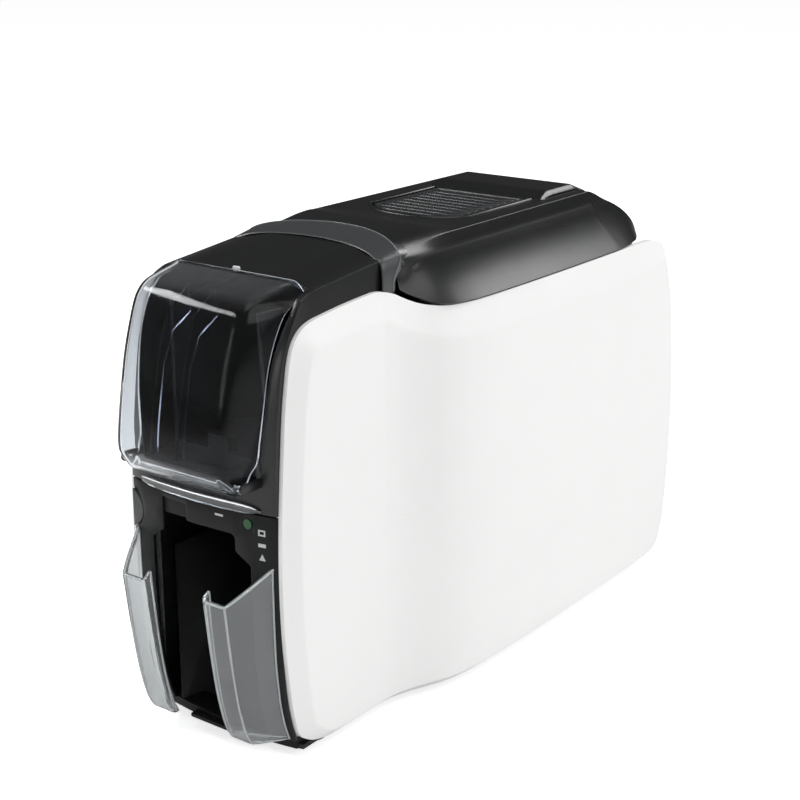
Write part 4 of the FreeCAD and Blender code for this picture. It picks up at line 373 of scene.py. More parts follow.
def node_for(tree, kind, settings, sources):
    """A new shader node with its settings, and with the sources joined to its inputs."""
    node = tree.nodes.new("ShaderNode" + kind)
    setup(node, settings)
    for name, source in sources.items():
        tree.links.new(source, node.inputs[name])
    return node


def shader(name, colour, roughness, settings):
    """A new material, its nodes and its Principled shader."""
    material = bpy.data.materials.new(name)
    material.use_nodes = True
    tree = material.node_tree
    surface = tree.nodes["Principled BSDF"]
    setup(surface, {"Base Color": (*colour, 1.0), "Roughness": roughness, **settings})
    return material, tree, surface


def noise(tree, scale, detail=3.0, stretch=(1, 1, 1)):
    """Noise over the object's own coordinates."""
    place = tree.nodes.new("ShaderNodeTexCoord").outputs["Object"]
    mapping = node_for(tree, "Mapping", {"Scale": stretch}, {"Vector": place})
    grain = node_for(tree, "TexNoise", {"Scale": scale, "Detail": detail},
                     {"Vector": mapping.outputs["Vector"]})
    return grain.outputs["Fac"]


def vary(tree, surface, setting, source, low, high):
    """Lets a noise value move one of the shader's settings over a range."""
    span = {"From Min": NOISE_RANGE[0], "From Max": NOISE_RANGE[1], "To Min": low, "To Max": high}
    node = node_for(tree, "MapRange", span, {"Value": source})
    tree.links.new(node.outputs["Result"], surface.inputs[setting])


def bump(tree, surface, source, strength, distance):
    """Lets a noise value raise the surface."""
    heights = {"Strength": strength, "Distance": distance}
    node = node_for(tree, "Bump", heights, {"Height": source})
    tree.links.new(node.outputs["Normal"], surface.inputs["Normal"])


def tint(tree, surface, source, colour, change):
    """Slight changes between the colour and a darker one."""
    ramp = node_for(tree, "ValToRGB", {}, {"Fac": source})
    dark = tuple(c * (1 - change) for c in colour)
    for element, place, tone in zip(ramp.color_ramp.elements, NOISE_RANGE, (dark, colour)):
        element.position = place
        element.color = (*tone, 1.0)
    tree.links.new(ramp.outputs["Color"], surface.inputs["Base Color"])


def moulded(name, colour, roughness, grain=3200, depth=0.00002, change=0.06, shine=0.5):
    """Moulded plastic: fine erosion grain, cloudy gloss and a faint change of tone."""
    material, tree, surface = shader(name, colour, roughness, {"Specular IOR Level": shine})
    tint(tree, surface, noise(tree, CLOUDS), colour, change)
    patches = noise(tree, GLOSS_PATCHES)
    vary(tree, surface, "Roughness", patches, roughness - 0.012, roughness + 0.015)
    bump(tree, surface, noise(tree, grain, 2), 0.25, depth)
    return material


def clear(name, colour, roughness=0.03, ior=1.49, clearness=1.0):
    """Clear moulded plastic with faint flow marks; below 1 it is a little milky."""
    settings = {"Transmission Weight": clearness, "IOR": ior}
    material, tree, surface = shader(name, colour, roughness, settings)
    vary(tree, surface, "Roughness", noise(tree, 40), roughness, roughness + 0.03)
    bump(tree, surface, noise(tree, FLOW_MARKS, 1), 0.12, 0.0001)
    return material


def metal(name, colour, roughness, stretch=(1, 30, 30)):
    """Rolled or turned metal with fine drawn lines."""
    material, tree, surface = shader(name, colour, roughness, {"Metallic": 1.0})
    lines = noise(tree, DRAWN_LINES, 2, stretch)
    vary(tree, surface, "Roughness", lines, roughness - 0.07, roughness + 0.1)
    bump(tree, surface, lines, 0.15, 0.00002)
    tint(tree, surface, noise(tree, 40), colour, 0.1)
    return material


def glowing(name, colour, strength):
    """Lens that is faintly lit from behind."""
    settings = {"Emission Color": (*colour, 1.0), "Coat Weight": 0.1}
    material, tree, surface = shader(name, colour, 0.4, settings)
    vary(tree, surface, "Emission Strength", noise(tree, 500), strength * 0.8, strength)
    return material


def chosen(tree, ray, otherwise, value):
    """A value for one kind of ray and another for all the rest."""
    path = tree.nodes.new("ShaderNodeLightPath")
    level = node_for(tree, "MapRange", {"To Min": otherwise, "To Max": value},
                     {"Value": path.outputs[ray]})
    return level.outputs["Result"]


def larger(tree, one, other):
    """The larger one of two values."""
    node = node_for(tree, "Math", {}, {0: one, 1: other})
    node.operation = "MAXIMUM"
    return node.outputs["Value"]


def seen_level(tree, value, through):
    """One value for the camera's rays, one for rays through clear plastic and 0 for the rest."""
    return larger(tree, chosen(tree, "Is Camera Ray", 0.0, value),
                  chosen(tree, "Is Transmission Ray", 0.0, through))


def studio_floor():
    """White paper floor that is seen a little brighter than it is lit."""
    material = moulded("white floor", (0.9, 0.9, 0.9), 0.8, change=0.01)
    tree = material.node_tree
    surface = tree.nodes["Principled BSDF"]
    setup(surface, {"Emission Color": (1.0, 1.0, 1.0, 1.0)})
    tree.links.new(seen_level(tree, FLOOR_LIFT, 0.0), surface.inputs["Emission Strength"])
    return material


WHITE = moulded("white plastic", (0.88, 0.88, 0.875), 0.42, change=0.01)
BLACK = moulded("gloss black plastic", (0.009, 0.0095, 0.010), 0.3, depth=0.00001)
FRONT_BLACK = moulded("satin black plastic", (0.007, 0.0075, 0.008), 0.36, depth=0.00001, shine=0.2)
MATTE = moulded("matte black plastic", (0.016, 0.016, 0.017), 0.5, depth=0.00004, shine=0.4)
GREY = moulded("grey plastic", (0.040, 0.043, 0.045), 0.32, shine=0.7)
# Painted shade: a darker copy of the black plastic for inner and recessed pieces
PAINTED_SHADE_BLACK = moulded("black plastic with painted shade", (0.007, 0.007, 0.008), 0.55, shine=0.3)
RIBBED = moulded("ribbed black plastic", (0.018, 0.019, 0.021), 0.34)
CLEAR = clear("clear plastic", (0.93, 0.95, 0.97))
# The guards' clear plastic is made a little milky, which is painted reflection: it lightens them as
# the reflected white surroundings do
GUARD_CLEAR_WITH_PAINTED_REFLECTION = clear("clear guard plastic", (0.86, 0.89, 0.90), ior=1.38, clearness=0.9)
# Painted highlight: less clear, milky plastic for the beads along the guards' edges; the door's
# finger tab is made of it too
TAB_PLASTIC_AND_PAINTED_HIGHLIGHT = clear("clear plastic rim", (0.86, 0.89, 0.90), roughness=0.2, clearness=0.35)
SMOKED = clear("smoked clear plastic", (0.82, 0.85, 0.88), ior=1.22)
BLUISH = clear("bluish clear plastic", (0.58, 0.64, 0.80), roughness=0.12, ior=1.15)
GREEN = glowing("green lens", (0.004, 0.07, 0.010), 0.04)
# Painted highlight: pale grey plastic for a bead along the collar's rear edge
PAINTED_HIGHLIGHT_GREY = moulded("pale edge plastic", (0.16, 0.17, 0.175), 0.3)
MARK = moulded("pale print", (0.55, 0.56, 0.57), 0.5)
RUBBER = moulded("black rubber", (0.02, 0.02, 0.021), 0.75, grain=1500, depth=0.00006)
STEEL = metal("zinc plated steel", (0.55, 0.56, 0.58), 0.34)
ALUMINIUM = metal("extruded aluminium", (0.72, 0.73, 0.75), 0.3, (30, 1, 30))
BRASS = metal("turned brass", (0.70, 0.50, 0.22), 0.28)
BOARD = moulded("green circuit board", (0.01, 0.10, 0.035), 0.35, grain=900, change=0.3)
CERAMIC = moulded("white ceramic", (0.62, 0.60, 0.55), 0.3)
GEAR = moulded("ivory gear plastic", (0.66, 0.63, 0.54), 0.45)
FILM = moulded("dark ribbon film", (0.02, 0.012, 0.05), 0.18, change=0.3)
FLOOR = studio_floor()

SLOT_MATERIALS = {
    "white_panel": WHITE, "gloss_black": BLACK, "matte_black": MATTE, "grey_trim": GREY,
    "clear_plastic": CLEAR, "light_bar": CLEAR, "status_green": GREEN, "circuit_board": BOARD,
    "steel": STEEL, "rubber": RUBBER, "ribbon_film": FILM, "head_ceramic": CERAMIC,
    "aluminium": ALUMINIUM, "gear_plastic": GEAR, "brass": BRASS,
}
# Painted shade: the hopper and card weight behind the door take the darker black
NODE_MATERIALS = {"card_weight": PAINTED_SHADE_BLACK, "card_hopper": PAINTED_SHADE_BLACK}


def dress_frame():
    """Gives every CAD node the material of its slot, and the inner pieces a darker black of their
    own, which is painted shade.
    """
    for entry in frame["record"]["subparts"]:
        node = frame["nodes"][entry["node"]]
        node.data.materials.clear()
        slot_material = SLOT_MATERIALS[entry["material_slot"]]
        node.data.materials.append(NODE_MATERIALS.get(entry["node"], slot_material))


# White side panels

WAVE = (
    # distance back, half width
    (80, 55.75), (90, 57.1), (97, 59), (103, 61.2), (109, 63.8), (114.5, 66.5), (121, 68.9),
    (128, 70.9), (144, 73.2), (163, 74.3), (195, 75.2), (230, 75.7), (420, 75.7),
)
PANEL_EDGE = (
    # distance back and height of the panel's rim, from the toe up, back and round
    (20, 11), (13.9, 16.2), (10.8, 26), (8.4, 38), (4.8, 67.5), (3.5, 96), (3.8, 126),
    (5.6, 156), (8.1, 186), (10.9, 205), (12.6, 213), (15.6, 220.5), (20.8, 226),
    (28, 228.9), (38, 230.3), (54, 231.8), (70, 232.8), (80, 233), (90, 230.7),
    (97, 227.2), (103, 224.3), (109, 222.1), (114.5, 220.8), (121, 219.8), (128, 219.3),
    (144, 219), (180, 219), (220, 219), (260, 219), (300, 219),
    (325, 219), (337, 217.3), (345, 213.6), (351, 206.5), (355.6, 193),
    (360.1, 175.5), (364.6, 146), (367, 118), (367.5, 92), (366.8, 62), (364.6, 38),
    (361.6, 24), (357, 14), (350, 8), (340, 5.6), (320, 5.2), (280, 5.1),
    (240, 5.1), (200, 5.1), (160, 5.1), (120, 5.1), (80, 5.1), (50, 5.2),
    (36, 5.9), (27, 7.8),
)
PANEL_WALL = 2.2
PANEL_LIP = 3.6
BEVEL_INSET = 5
BEVEL_WIDTHS = {
    # how far the bevel reaches in from the rim
    "nose": 10.8, "brow": 12, "top": 15.4, "tail top": 20, "tail": 9, "sole": 5,
}
BEVEL_SHARES = (
    # rows from the rim over the bevel, dense at its crease, to a little beyond it
    0, 0.06, 0.16, 0.3, 0.45, 0.6, 0.72, 0.8, 0.83, 0.86, 0.89, 0.92, 0.96, 1.02, 1.1, 1.22,
)
BEVEL_CREASE = 0.86
CREASE_BLEND = 0.05
BEVEL_SMOOTHING = 4
FACE_SHARES = (
    # rows from there to the middle of the face
    0.08, 0.18, 0.3, 0.44, 0.58, 0.72, 0.86, 1,
)
FACE_MIDDLE = (62, 312, 112)


def half_width(back):
    return table(WAVE, back)


def bevel_width(back, up):
    """How wide the panel's bevel is near a point of its rim."""
    nose, brow, top, tail_top, tail, sole = BEVEL_WIDTHS.values()
    if up < 16 and back < 200:
        return mix(sole, nose, fade(back, 40, 16))
    if up < 16:
        return mix(sole, tail, fade(back, 344, 360))
    if back < 20:
        return mix(nose, brow, fade(up, 190, 220))
    if up > 205 and back < 300:
        return mix(brow, top, fade(back, 18, 38)) + (tail_top - top) * fade(back, 60, 150)
    if up > 205:
        return mix(tail_top, tail, fade(back, 325, 355))
    return tail


def inward(rim):
    """How far and which way the bevel reaches in from each point of the rim."""
    count = len(rim)
    sharp = [way * bevel_width(*point) for way, point in zip(crossways(rim, True), rim)]
    near = range(-BEVEL_SMOOTHING, BEVEL_SMOOTHING + 1)
    return [sum((sharp[(i + step) % count] for step in near), Vector((0, 0))) / len(near)
            for i in range(count)]


def panel_x(back, share):
    """Outer face of the right panel: share 0 is at the rim, 1 at the end of the bevel."""
    slope = min(share / BEVEL_CREASE, 1)
    if abs(share - BEVEL_CREASE) < CREASE_BLEND:
        t = (share - BEVEL_CREASE + CREASE_BLEND) / (2 * CREASE_BLEND)
        start = (BEVEL_CREASE - CREASE_BLEND) / BEVEL_CREASE
        slope = mix(start, 1, t + t * (1 - t) * 0.5)
    return half_width(back) - BEVEL_INSET * (1 - min(slope, 1))


def side_panels():
    """White waved shells: a rounded bevel runs all round the rim into the waved face."""
    rim = spline(PANEL_EDGE, 4, closed=True)
    offsets = inward(rim)
    rows = [[(half_width(back) - BEVEL_INSET - depth, back, up) for back, up in rim]
            for depth in (PANEL_LIP, PANEL_LIP * 0.4)]
    for share in BEVEL_SHARES:
        row = []
        for (back, up), offset in zip(rim, offsets):
            y = back + offset.x * share
            row.append((panel_x(y, share), y, up + offset.y * share))
        rows.append(row)
    outer = rows[-1]
    middle_front, middle_rear, middle_up = FACE_MIDDLE
    for share in FACE_SHARES:
        row = []
        for _, y, z in outer:
            inner_y = mix(y, clamp(y, middle_front, middle_rear), share)
            row.append((half_width(inner_y), inner_y, mix(z, middle_up, share)))
        rows.append(row)
    piece = grid_piece("right_panel_skin", rows, WHITE, caps=False)
    thicken(piece, PANEL_WALL)
    finish_pair(piece, "white_panel", "right_side_panel")


# Black core: housing of the card feeder above, bezel with the card mouth below

CORE_HALF_WIDTH = 48.4
CORE_WALL = 2.2
FACE_BOW = 5
FACE = (
    # height, distance back of the black core's front at its sides
    (12, 13), (24, 8.8), (39, 5.8), (67, 3.4), (98, 3), (137, 3), (150, 3.1),
    (167, 3.6), (186, 5.2), (205, 7.9),
)
HOUSING_FOOT = 137.5
HOUSING_REAR = 98
HOUSING_PROFILE = (
    # distance back and height of the card feeder's front and top at its sides
    (3, HOUSING_FOOT), (3.1, 150), (3.6, 167), (5.2, 186), (7.9, 205), (10.2, 214),
    (13.4, 221.5), (17.4, 229), (22.2, 236.6), (26.6, 242.3), (31, 245.4), (38, 246.5),
    (52, 247.8), (66, 249.1), (80, 250.4), (HOUSING_REAR, 252),
)
FACET_FRONT = 31
FACET_HALF_WIDTHS = (33.5, 27)
FACET_DROP = 3.4
WINDOW = (
    # half width of the opening for the door, height
    (37.2, 149), (37.6, 163), (41.2, 186), (43.2, 215), (45, 233), (45.4, 262),
)
WINDOW_REAR = 33
DOOR_PIN = (-10, 153.5)
EAR_RADIUS = 2.4
EAR_ROOT = 5.5
EAR_SIDES = (38.5, 40.3)

BEZEL_HEIGHTS = (12, 16, 20, 26, 32, 39, 50, 60, 70, 84, 98, 110, 124, 136.7)
BEZEL_COLUMNS = 17
MOUTH = (
    # x and height round the card mouth
    (-33, 4), (33, 4), (33, 109), (24.2, 115), (24.2, 121.5), (23.4, 123.3),
    (21.6, 124), (-7, 124), (-7, 133), (-24.2, 133), (-24.2, 115), (-33, 109),
)
CUT_FRONT = -30
CUT_REAR = 40
BRIDGE_ACROSS = (-26.5, -4.8)
BRIDGE_HEIGHTS = (124.2, 136.8)
BRIDGE_WALL = 2
STATUS_LENS = (32, 131)
STATUS_LENS_RADIUS = 2.8
KEY = (-52, 120.5)
KEY_RADIUS = 11
KEY_GAP = 0.4
KEY_FRONT = 1.8
KEY_DEPTH = 5

SILL_HALF_WIDTH = 46
SILL_SETBACK = 2.4
SILL_REAR = 40
TRAY_REACH = 60
TRAY_FRONT = 14
TRAY_CORNER = 9
BIN_REACH = 40
BIN_FRONT = 6.5


def bow(x):
    return FACE_BOW * (1 - (x / CORE_HALF_WIDTH) ** 2)


def face(x, up):
    """How far back the black core's front lies at a place seen from the front."""
    return table(FACE, up) - bow(x)


def housing_row(back, up):
    """Points across the housing: flat in the middle, with a facet down to each side."""
    flat = mix(*FACET_HALF_WIDTHS, clamp((back - FACET_FRONT) / (HOUSING_REAR - FACET_FRONT)))
    across = spread(0, flat, 6) + [mix(flat, CORE_HALF_WIDTH, 0.5), CORE_HALF_WIDTH]
    half = []
    for x in across:
        down = max(0, (x - flat) / (CORE_HALF_WIDTH - flat))
        drop = FACET_DROP * down * fade(up, 238, 246)
        ahead = bow(x) * (1 - fade(back, 20, 50))
        half.append((x, back - ahead, up - drop))
    return both_sides(half)


def housing():
    """Card feeder housing: bowed front, faceted top edges and a window for the door."""
    rows = [housing_row(back, up) for back, up in spline(HOUSING_PROFILE, 4)]
    columns = len(rows[0])
    points = [point for row in rows for point in row]
    faces = grid_faces(len(rows), columns)
    for column in (0, columns - 1):
        side = [row * columns + column for row in range(len(rows))]
        faces.append((*side, len(points)))
        points.append((points[column][0], HOUSING_REAR, HOUSING_FOOT))
    piece = mesh_piece("feeder_housing_skin", points, faces, BLACK)
    thicken(piece, CORE_WALL)
    outline = list(WINDOW) + [(-x, up) for x, up in reversed(WINDOW)]
    carve(piece, prism("window cutter", outline, CUT_FRONT, WINDOW_REAR, "Y", BLACK))
    round_edges(piece, 0.7, 2, 24)
    finish(piece, CHASSIS, "gloss_black", "feeder_housing")
    for side, word in SIDES:
        housing_ear(side, word)


def housing_ear(side, word):
    """Round-ended lug on the housing that holds a pin of the door."""
    up = DOOR_PIN[1]
    outline = [(EAR_ROOT, up - EAR_RADIUS), (EAR_ROOT, up + EAR_RADIUS)]
    outline += arc(DOOR_PIN, EAR_RADIUS, math.pi / 2, math.pi * 3 / 2, 12)
    low, high = sorted(x * side for x in EAR_SIDES)
    ear = prism(f"housing_ear_{word}", outline, low, high, "X", BLACK)
    round_edges(ear, 0.4, 2, 40)
    finish(ear, CHASSIS, "gloss_black")


def bezel():
    """Bowed lower front with the stepped card mouth, and a bridge behind the mouth's slot."""
    outline = [(face(0, up) + FACE_BOW, up) for up in BEZEL_HEIGHTS]
    loop = outline + [(back + CORE_WALL, up) for back, up in reversed(outline)]
    rows = [[(x, back - bow(x), up) for back, up in loop]
            for x in spread(-CORE_HALF_WIDTH, CORE_HALF_WIDTH, BEZEL_COLUMNS)]
    piece = grid_piece("lower_bezel_skin", rows, FRONT_BLACK)
    through = (CUT_FRONT, CUT_REAR)
    mouth = prism("mouth cutter", MOUTH, *through, "Y", BLACK)
    key = rod("key cutter", KEY_RADIUS + KEY_GAP, through, KEY, "Y", BLACK)
    lens = rod("lens cutter", STATUS_LENS_RADIUS, through, STATUS_LENS, "Y", BLACK, 24)
    carve(piece, mouth, key, lens)
    round_edges(piece, 0.6, 2, 30)
    finish(piece, CHASSIS, "gloss_black", "lower_bezel")
    recess = face(0, 130) + CORE_WALL + 0.3
    # Painted shade: the bridge behind the mouth takes the darker black
    bridge = block("mouth_bridge", BRIDGE_ACROSS, (recess, recess + BRIDGE_WALL),
                   BRIDGE_HEIGHTS, PAINTED_SHADE_BLACK, 0.4)
    finish(bridge, CHASSIS, "gloss_black")


def sill():
    """Lip under the bezel that closes the foot of the black core; its darker black is painted
    shade.
    """
    rows = []
    for x in spread(-SILL_HALF_WIDTH, SILL_HALF_WIDTH, 17):
        front = face(x, 12) + SILL_SETBACK
        rows.append([(x, front, 11.6), (x, front + 0.6, 6.4), (x, front + 2, 5.2),
                     (x, SILL_REAR, 5.2), (x, SILL_REAR, 7.6), (x, front + 4, 11.6)])
    piece = grid_piece("front_sill", rows, PAINTED_SHADE_BLACK)
    finish(piece, CHASSIS, "matte_black")


def trimmed(name, node, plan, heights, material):
    """A copy of a CAD node without what stands inside an upright prism."""
    source = frame["nodes"][node]
    piece = added(name, source.data.copy())
    piece.matrix_world = source.matrix_world.copy()
    piece.data.materials.clear()
    piece.data.materials.append(material)
    cut_out(piece, prism("trim cutter", plan, *heights, "Z", material))
    finish(piece, CHASSIS, "matte_black", node)


def foot():
    """The base tray, rounded at its front corners, and the bin, kept behind the bezel's foot."""
    ahead = -40
    plan = [(TRAY_REACH * share, TRAY_FRONT + TRAY_CORNER * abs(share) ** 3)
            for share in spread(-1, 1, 25)]
    plan += [(TRAY_REACH, ahead), (-TRAY_REACH, ahead)]
    trimmed("base_tray_skin", "base_tray", plan, (-5, 40), MATTE)
    # Painted shade: the bin inside the mouth takes the darker black
    plan = rectangle((-BIN_REACH, BIN_REACH), (ahead, BIN_FRONT))
    trimmed("output_bin_skin", "output_bin", plan, (0, 30), PAINTED_SHADE_BLACK)


def power_button():
    """Round key cut off straight where it meets the side of the core."""
    limit = math.acos((-CORE_HALF_WIDTH - KEY[0]) / KEY_RADIUS)
    outline = arc(KEY, KEY_RADIUS, -limit, limit, 30)
    piece = prism("power_key", outline, KEY_FRONT, KEY_FRONT + KEY_DEPTH, "Y", GREY)
    round_edges(piece, 0.7, 3, 40)
    finish(piece, "power_button_body", "grey_trim", "power_button")


# Clear bar and plain marks on the black front

BAR_HALF_LENGTH = 40.4
BAR_UP = 139.6
BAR_HALF_HEIGHT = 2.2
BAR_DEPTH = 2.9
BAR_COLUMNS = 33
BAR_TURNS = 16
BAR_ROUNDNESS = 0.6
BARS = (
    # name, x and height of the middle, width, height
    ("ribbon_mark_top", 40, 129, 4, 0.8), ("ribbon_mark_low", 40, 126.6, 4, 0.8),
    ("ribbon_mark_left", 38.4, 127.8, 0.8, 3), ("ribbon_mark_right", 41.6, 127.8, 0.8, 3),
    ("card_mark", 40, 121.3, 4.2, 1.9), ("seam_mark", 15, 132.4, 5, 1.1),
)
TRIANGLE = ((38.2, 113.4), (41.8, 113.4), (40, 116.8))
MARK_DEPTHS = (-0.08, 0.4)


def squared(value):
    """A sine or cosine that makes a rounded box of a circle."""
    return math.copysign(abs(value) ** BAR_ROUNDNESS, value)


def light_bar():
    """Clear bar across the seam; its ends sweep back into the housing."""
    rows = []
    for share in spread(-1, 1, BAR_COLUMNS):
        x = BAR_HALF_LENGTH * share
        bulge = math.sqrt(max(0, 1 - abs(share) ** 6))
        rear = face(x, 140) - 0.3
        front = rear - BAR_DEPTH * max(bulge, 0.12)
        centre = BAR_UP - 0.6 * abs(share) ** 4
        height = BAR_HALF_HEIGHT * max(bulge, 0.25)
        row = []
        for u, v in circle((0, 0), 1, BAR_TURNS):
            back = mix(front, rear, 0.5 + 0.5 * squared(u))
            row.append((x, back, centre + height * squared(v)))
        rows.append(row)
    piece = grid_piece("light_bar_lens", rows, CLEAR, smooth_angle=60)
    finish(piece, CHASSIS, "light_bar", "light_bar")


def mark(name, outline):
    """A thin raised print that follows the bezel's bowed front."""
    rows = [[(x, face(x, up) + depth, up) for x, up in outline] for depth in MARK_DEPTHS]
    finish(grid_piece(name, rows, MARK), CHASSIS, "white_panel")


def markings():
    """Plain marks beside the mouth: a frame of four bars, two single bars and a triangle."""
    for name, x, up, wide, tall in BARS:
        mark(name, rectangle((x - wide / 2, x + wide / 2), (up - tall / 2, up + tall / 2)))
    mark("fault_mark", TRIANGLE)


# Clear feeder door

DOOR = (
    # front: half width, back, up; rear rim: half width, back, up
    (33, -8.6, 147.9, 34, -5, 148.3),
    (34.4, -11.4, 149.2, 35, -5.6, 149.6),
    (35, -14.6, 152, 36.6, -5.2, 152.2),
    (35.2, -19, 158.2, 37.8, -2.6, 158.6),
    (35.1, -20.5, 164, 39.6, 0.6, 164),
    (35, -19.6, 174, 40.8, 1.6, 174.6),
    (34.9, -17.6, 186, 42, 2.8, 187),
    (34.8, -13.4, 207, 43, 5.6, 206),
    (34.8, -9, 221.5, 43.8, 9.6, 220),
    (34.9, -5, 232.2, 44.4, 15.6, 231.6),
    (35.2, -1.4, 237.6, 44.8, 20.4, 236),
    (36, 4.6, 241.4, 45, 24.4, 238.6),
    (37.4, 15.6, 243.9, 45, 28.6, 239.8),
    (39.6, 32.6, 246.5, 45, 32.6, 240.2),
)
DOOR_WALL = 2
DOOR_CROWN = 1
DOOR_CORNER = 5
FIN_WALL = 1.2
FIN_DEPTH = 4.2
FIN_ASIDE = 8.6
FIN_SHIFT = -3.4
FIN_POINT = ((12, 241.2), (12, 228), (-0.5, 221))
PIN_RADIUS = 1.4
PIN_ENDS = (33.4, 39.9)
FINGER_TAB = ((-1.6, 2.6), (31.8, 33.6), (246.2, 248.2))


def door_row(values):
    """Points across the door: a crowned face, rounded corners and walls back to the rims."""
    half, back, up, rim, rim_back, rim_up = values
    front = Vector((half, back, up))
    rear = Vector((rim, rim_back, rim_up))
    row = []
    for share in (0.5, 0.75):
        crown = DOOR_CROWN * 4 * share * (1 - share)
        row.append((mix(-half, half, share), back - crown, up + crown * 0.4))
    reach = min(DOOR_CORNER, 0.45 * (front - rear).length)
    row += corner((-half, back, up), front, rear, reach)
    return both_sides(row + [tuple((rear + front) / 2), tuple(rear)])


def clear_shell(name, rows, foot_face, material, wall, rounding):
    """Clear wall through rows of points, with one more face that closes its foot."""
    points = [point for row in rows for point in row]
    faces = grid_faces(len(rows), len(rows[0])) + [foot_face]
    piece = mesh_piece(name, points, faces, material)
    thicken(piece, wall)
    round_edges(piece, rounding, 2, 50)
    return piece


def feeder_door():
    """The door's clear shell with two fins, two hinge pins and a finger tab."""
    rows = [door_row(values) for values in spline(DOOR, 4)]
    foot_face = tuple(range(len(rows[0])))[::-1]
    piece = clear_shell("feeder_door_shell", rows, foot_face, SMOKED, DOOR_WALL, 0.5)
    finish(piece, DOOR_BODY, "clear_plastic", "feeder_door")
    for side, word in SIDES:
        fin = door_fin(f"door_fin_{word}", FIN_ASIDE * side + FIN_SHIFT)
        finish(fin, DOOR_BODY, "clear_plastic")
        ends = [end * side for end in PIN_ENDS]
        pin = rod(f"door_pin_{word}", PIN_RADIUS, ends, DOOR_PIN, "X", SMOKED, 20)
        finish(pin, DOOR_BODY, "clear_plastic")
    tab = block("door_finger_tab", *FINGER_TAB, TAB_PLASTIC_AND_PAINTED_HIGHLIGHT, 0.6)
    finish(tab, DOOR_BODY, "clear_plastic")


def door_fin(name, x):
    """Thin upright rib behind the door's face; its top runs back and ends in a point."""
    outer = [(back + DOOR_WALL, up - 0.4) for _, back, up, *_ in DOOR[4:10]]
    inner = [(back + DOOR_WALL + FIN_DEPTH, up - 1) for _, back, up, *_ in DOOR[4:8]]
    outline = spline(outer, 4) + list(FIN_POINT) + list(reversed(spline(inner, 4)))
    return prism(name, outline, x, x + FIN_WALL, "X", BLUISH)


# Clear output guards

GUARD = (
    # height, how far the guard reaches ahead of the front plane
    (13.6, 4.4), (20, 8), (30, 11.1), (42, 13.8), (54, 15.8), (66, 17.6),
    (77, 19), (88, 20.3), (96, 21.2), (112, GUARD_REACH),
)
GUARD_PLAN = (
    # x, share of the way from the bezel to the front
    (46.4, 0), (44.6, 0.16), (41.4, 0.45), (38.2, 0.72), (35.6, 0.92), (34.6, 0.985),
    (33, 1), (28, 1), (22, 1), (20.4, 0.985), (19.3, 0.93), (19, 0.84), (19, 0.72),
)
GUARD_WALL = 2
GUARD_FOOT = 13.6
GUARD_TOPS = (94.6, 110.4)
GUARD_TOP_RUN = 24
GUARD_ROWS = 29
# Painted highlights: milky beads run along these lines of each guard
GUARD_HIGHLIGHT_LINES = {
    # x, share of the way to the front, how far across the line stands off the edge
    "rear": (46.4, 0.03, -0.7), "corner": (34, 0.96, -0.4), "lip": (19, 0.74, 0.7),
}
GUARD_HIGHLIGHT_RADIUS = 0.5


def guard_point(x, ahead, share):
    """Place on the right guard: across, on the way to its front, and from its foot to its top."""
    up = GUARD_FOOT + 90 * share
    for _ in range(3):
        rear = face(min(x, 46), min(up, 136)) - 0.4
        back = mix(rear, -table(GUARD, up), ahead)
        top = mix(*GUARD_TOPS, clamp((back + GUARD_REACH) / GUARD_TOP_RUN))
        up = mix(GUARD_FOOT, top, share)
    return x, back, up


def guard():
    """Clear C-shaped guard: flared outer wall, narrow front and a lip turned back inside."""
    rows = [[guard_point(x, ahead, share) for x, ahead in GUARD_PLAN]
            for share in spread(0, 1, GUARD_ROWS)]
    foot_face = tuple(range(len(GUARD_PLAN)))
    return clear_shell("right_guard_shell", rows, foot_face, GUARD_CLEAR_WITH_PAINTED_REFLECTION, GUARD_WALL, 0.45)


def guards():
    """Both guards with milky beads along their edges that are painted highlights: at the bezel,
    front corner and lip, and on top.
    """
    finish_pair(guard(), "clear_plastic", "right_output_guard")
    paths = {}
    steps = spread(0, 1, 17)
    for part, (x, ahead, aside) in GUARD_HIGHLIGHT_LINES.items():
        points = [guard_point(x, ahead, share) for share in steps]
        paths[part] = [(x + aside, back + 0.5, up - 0.5 * share)
                       for (_, back, up), share in zip(points, steps)]
    top = [guard_point(x, ahead, 1) for x, ahead in GUARD_PLAN[:9]]
    paths["top"] = [(x - 0.5 if x > 30 else x, back + 0.8, up - 0.6) for x, back, up in top]
    # Painted highlight: each bead is a bright line laid along an edge
    edges = [bead(f"right_guard_{part}_edge", path, GUARD_HIGHLIGHT_RADIUS, part != "top", TAB_PLASTIC_AND_PAINTED_HIGHLIGHT)
             for part, path in paths.items()]
    for painted_highlight in edges:
        finish_pair(painted_highlight, "clear_plastic")


# Hinged top cover

COVER_FRONT = 99
COVER_WALL = 2.2
COVER_FOOT = (
    # distance back, half width of the skirt, its height
    (COVER_FRONT, 50.4, 230.4), (103, 53.4, 227.6), (108, 57.6, 225), (113, 61.2, 222.8),
    (118, 64, 221.4), (124, 66, 220.6), (130, 67.3, 220.2), (150, 69.2, 220),
    (190, 70.4, 220), (240, 70.8, 220), (288, 70.7, 220), (302, 69.6, 220),
    (318, 66.4, 220), (330, 61, 220), (341.4, 54.2, 220),
)
COVER_TOP = (
    # distance back, height of the cover's top
    (COVER_FRONT, 252.2), (289, 252.3), (295, 250.6), (302, 247), (318, 239.6),
    (330, 231.8), (337, 226), (341.4, 221),
)
COVER_ROWS = (
    # distance back of the first row, distance to the next, number of rows
    (COVER_FRONT, 2, 97), (292, 1.65, 30),
)
COVER_CREST = 252.3
COVER_CREASE = (51, 245.6)
CREST_SHARES = (0, 0.15, 0.3, 0.45, 0.6, 0.72)
CREST_INSETS = (8, 7, 6)
FLANK_SHARES = (0.2, 0.35, 0.5, 0.65, 0.8, 0.92, 1)
FLANK_SAG = 1.3
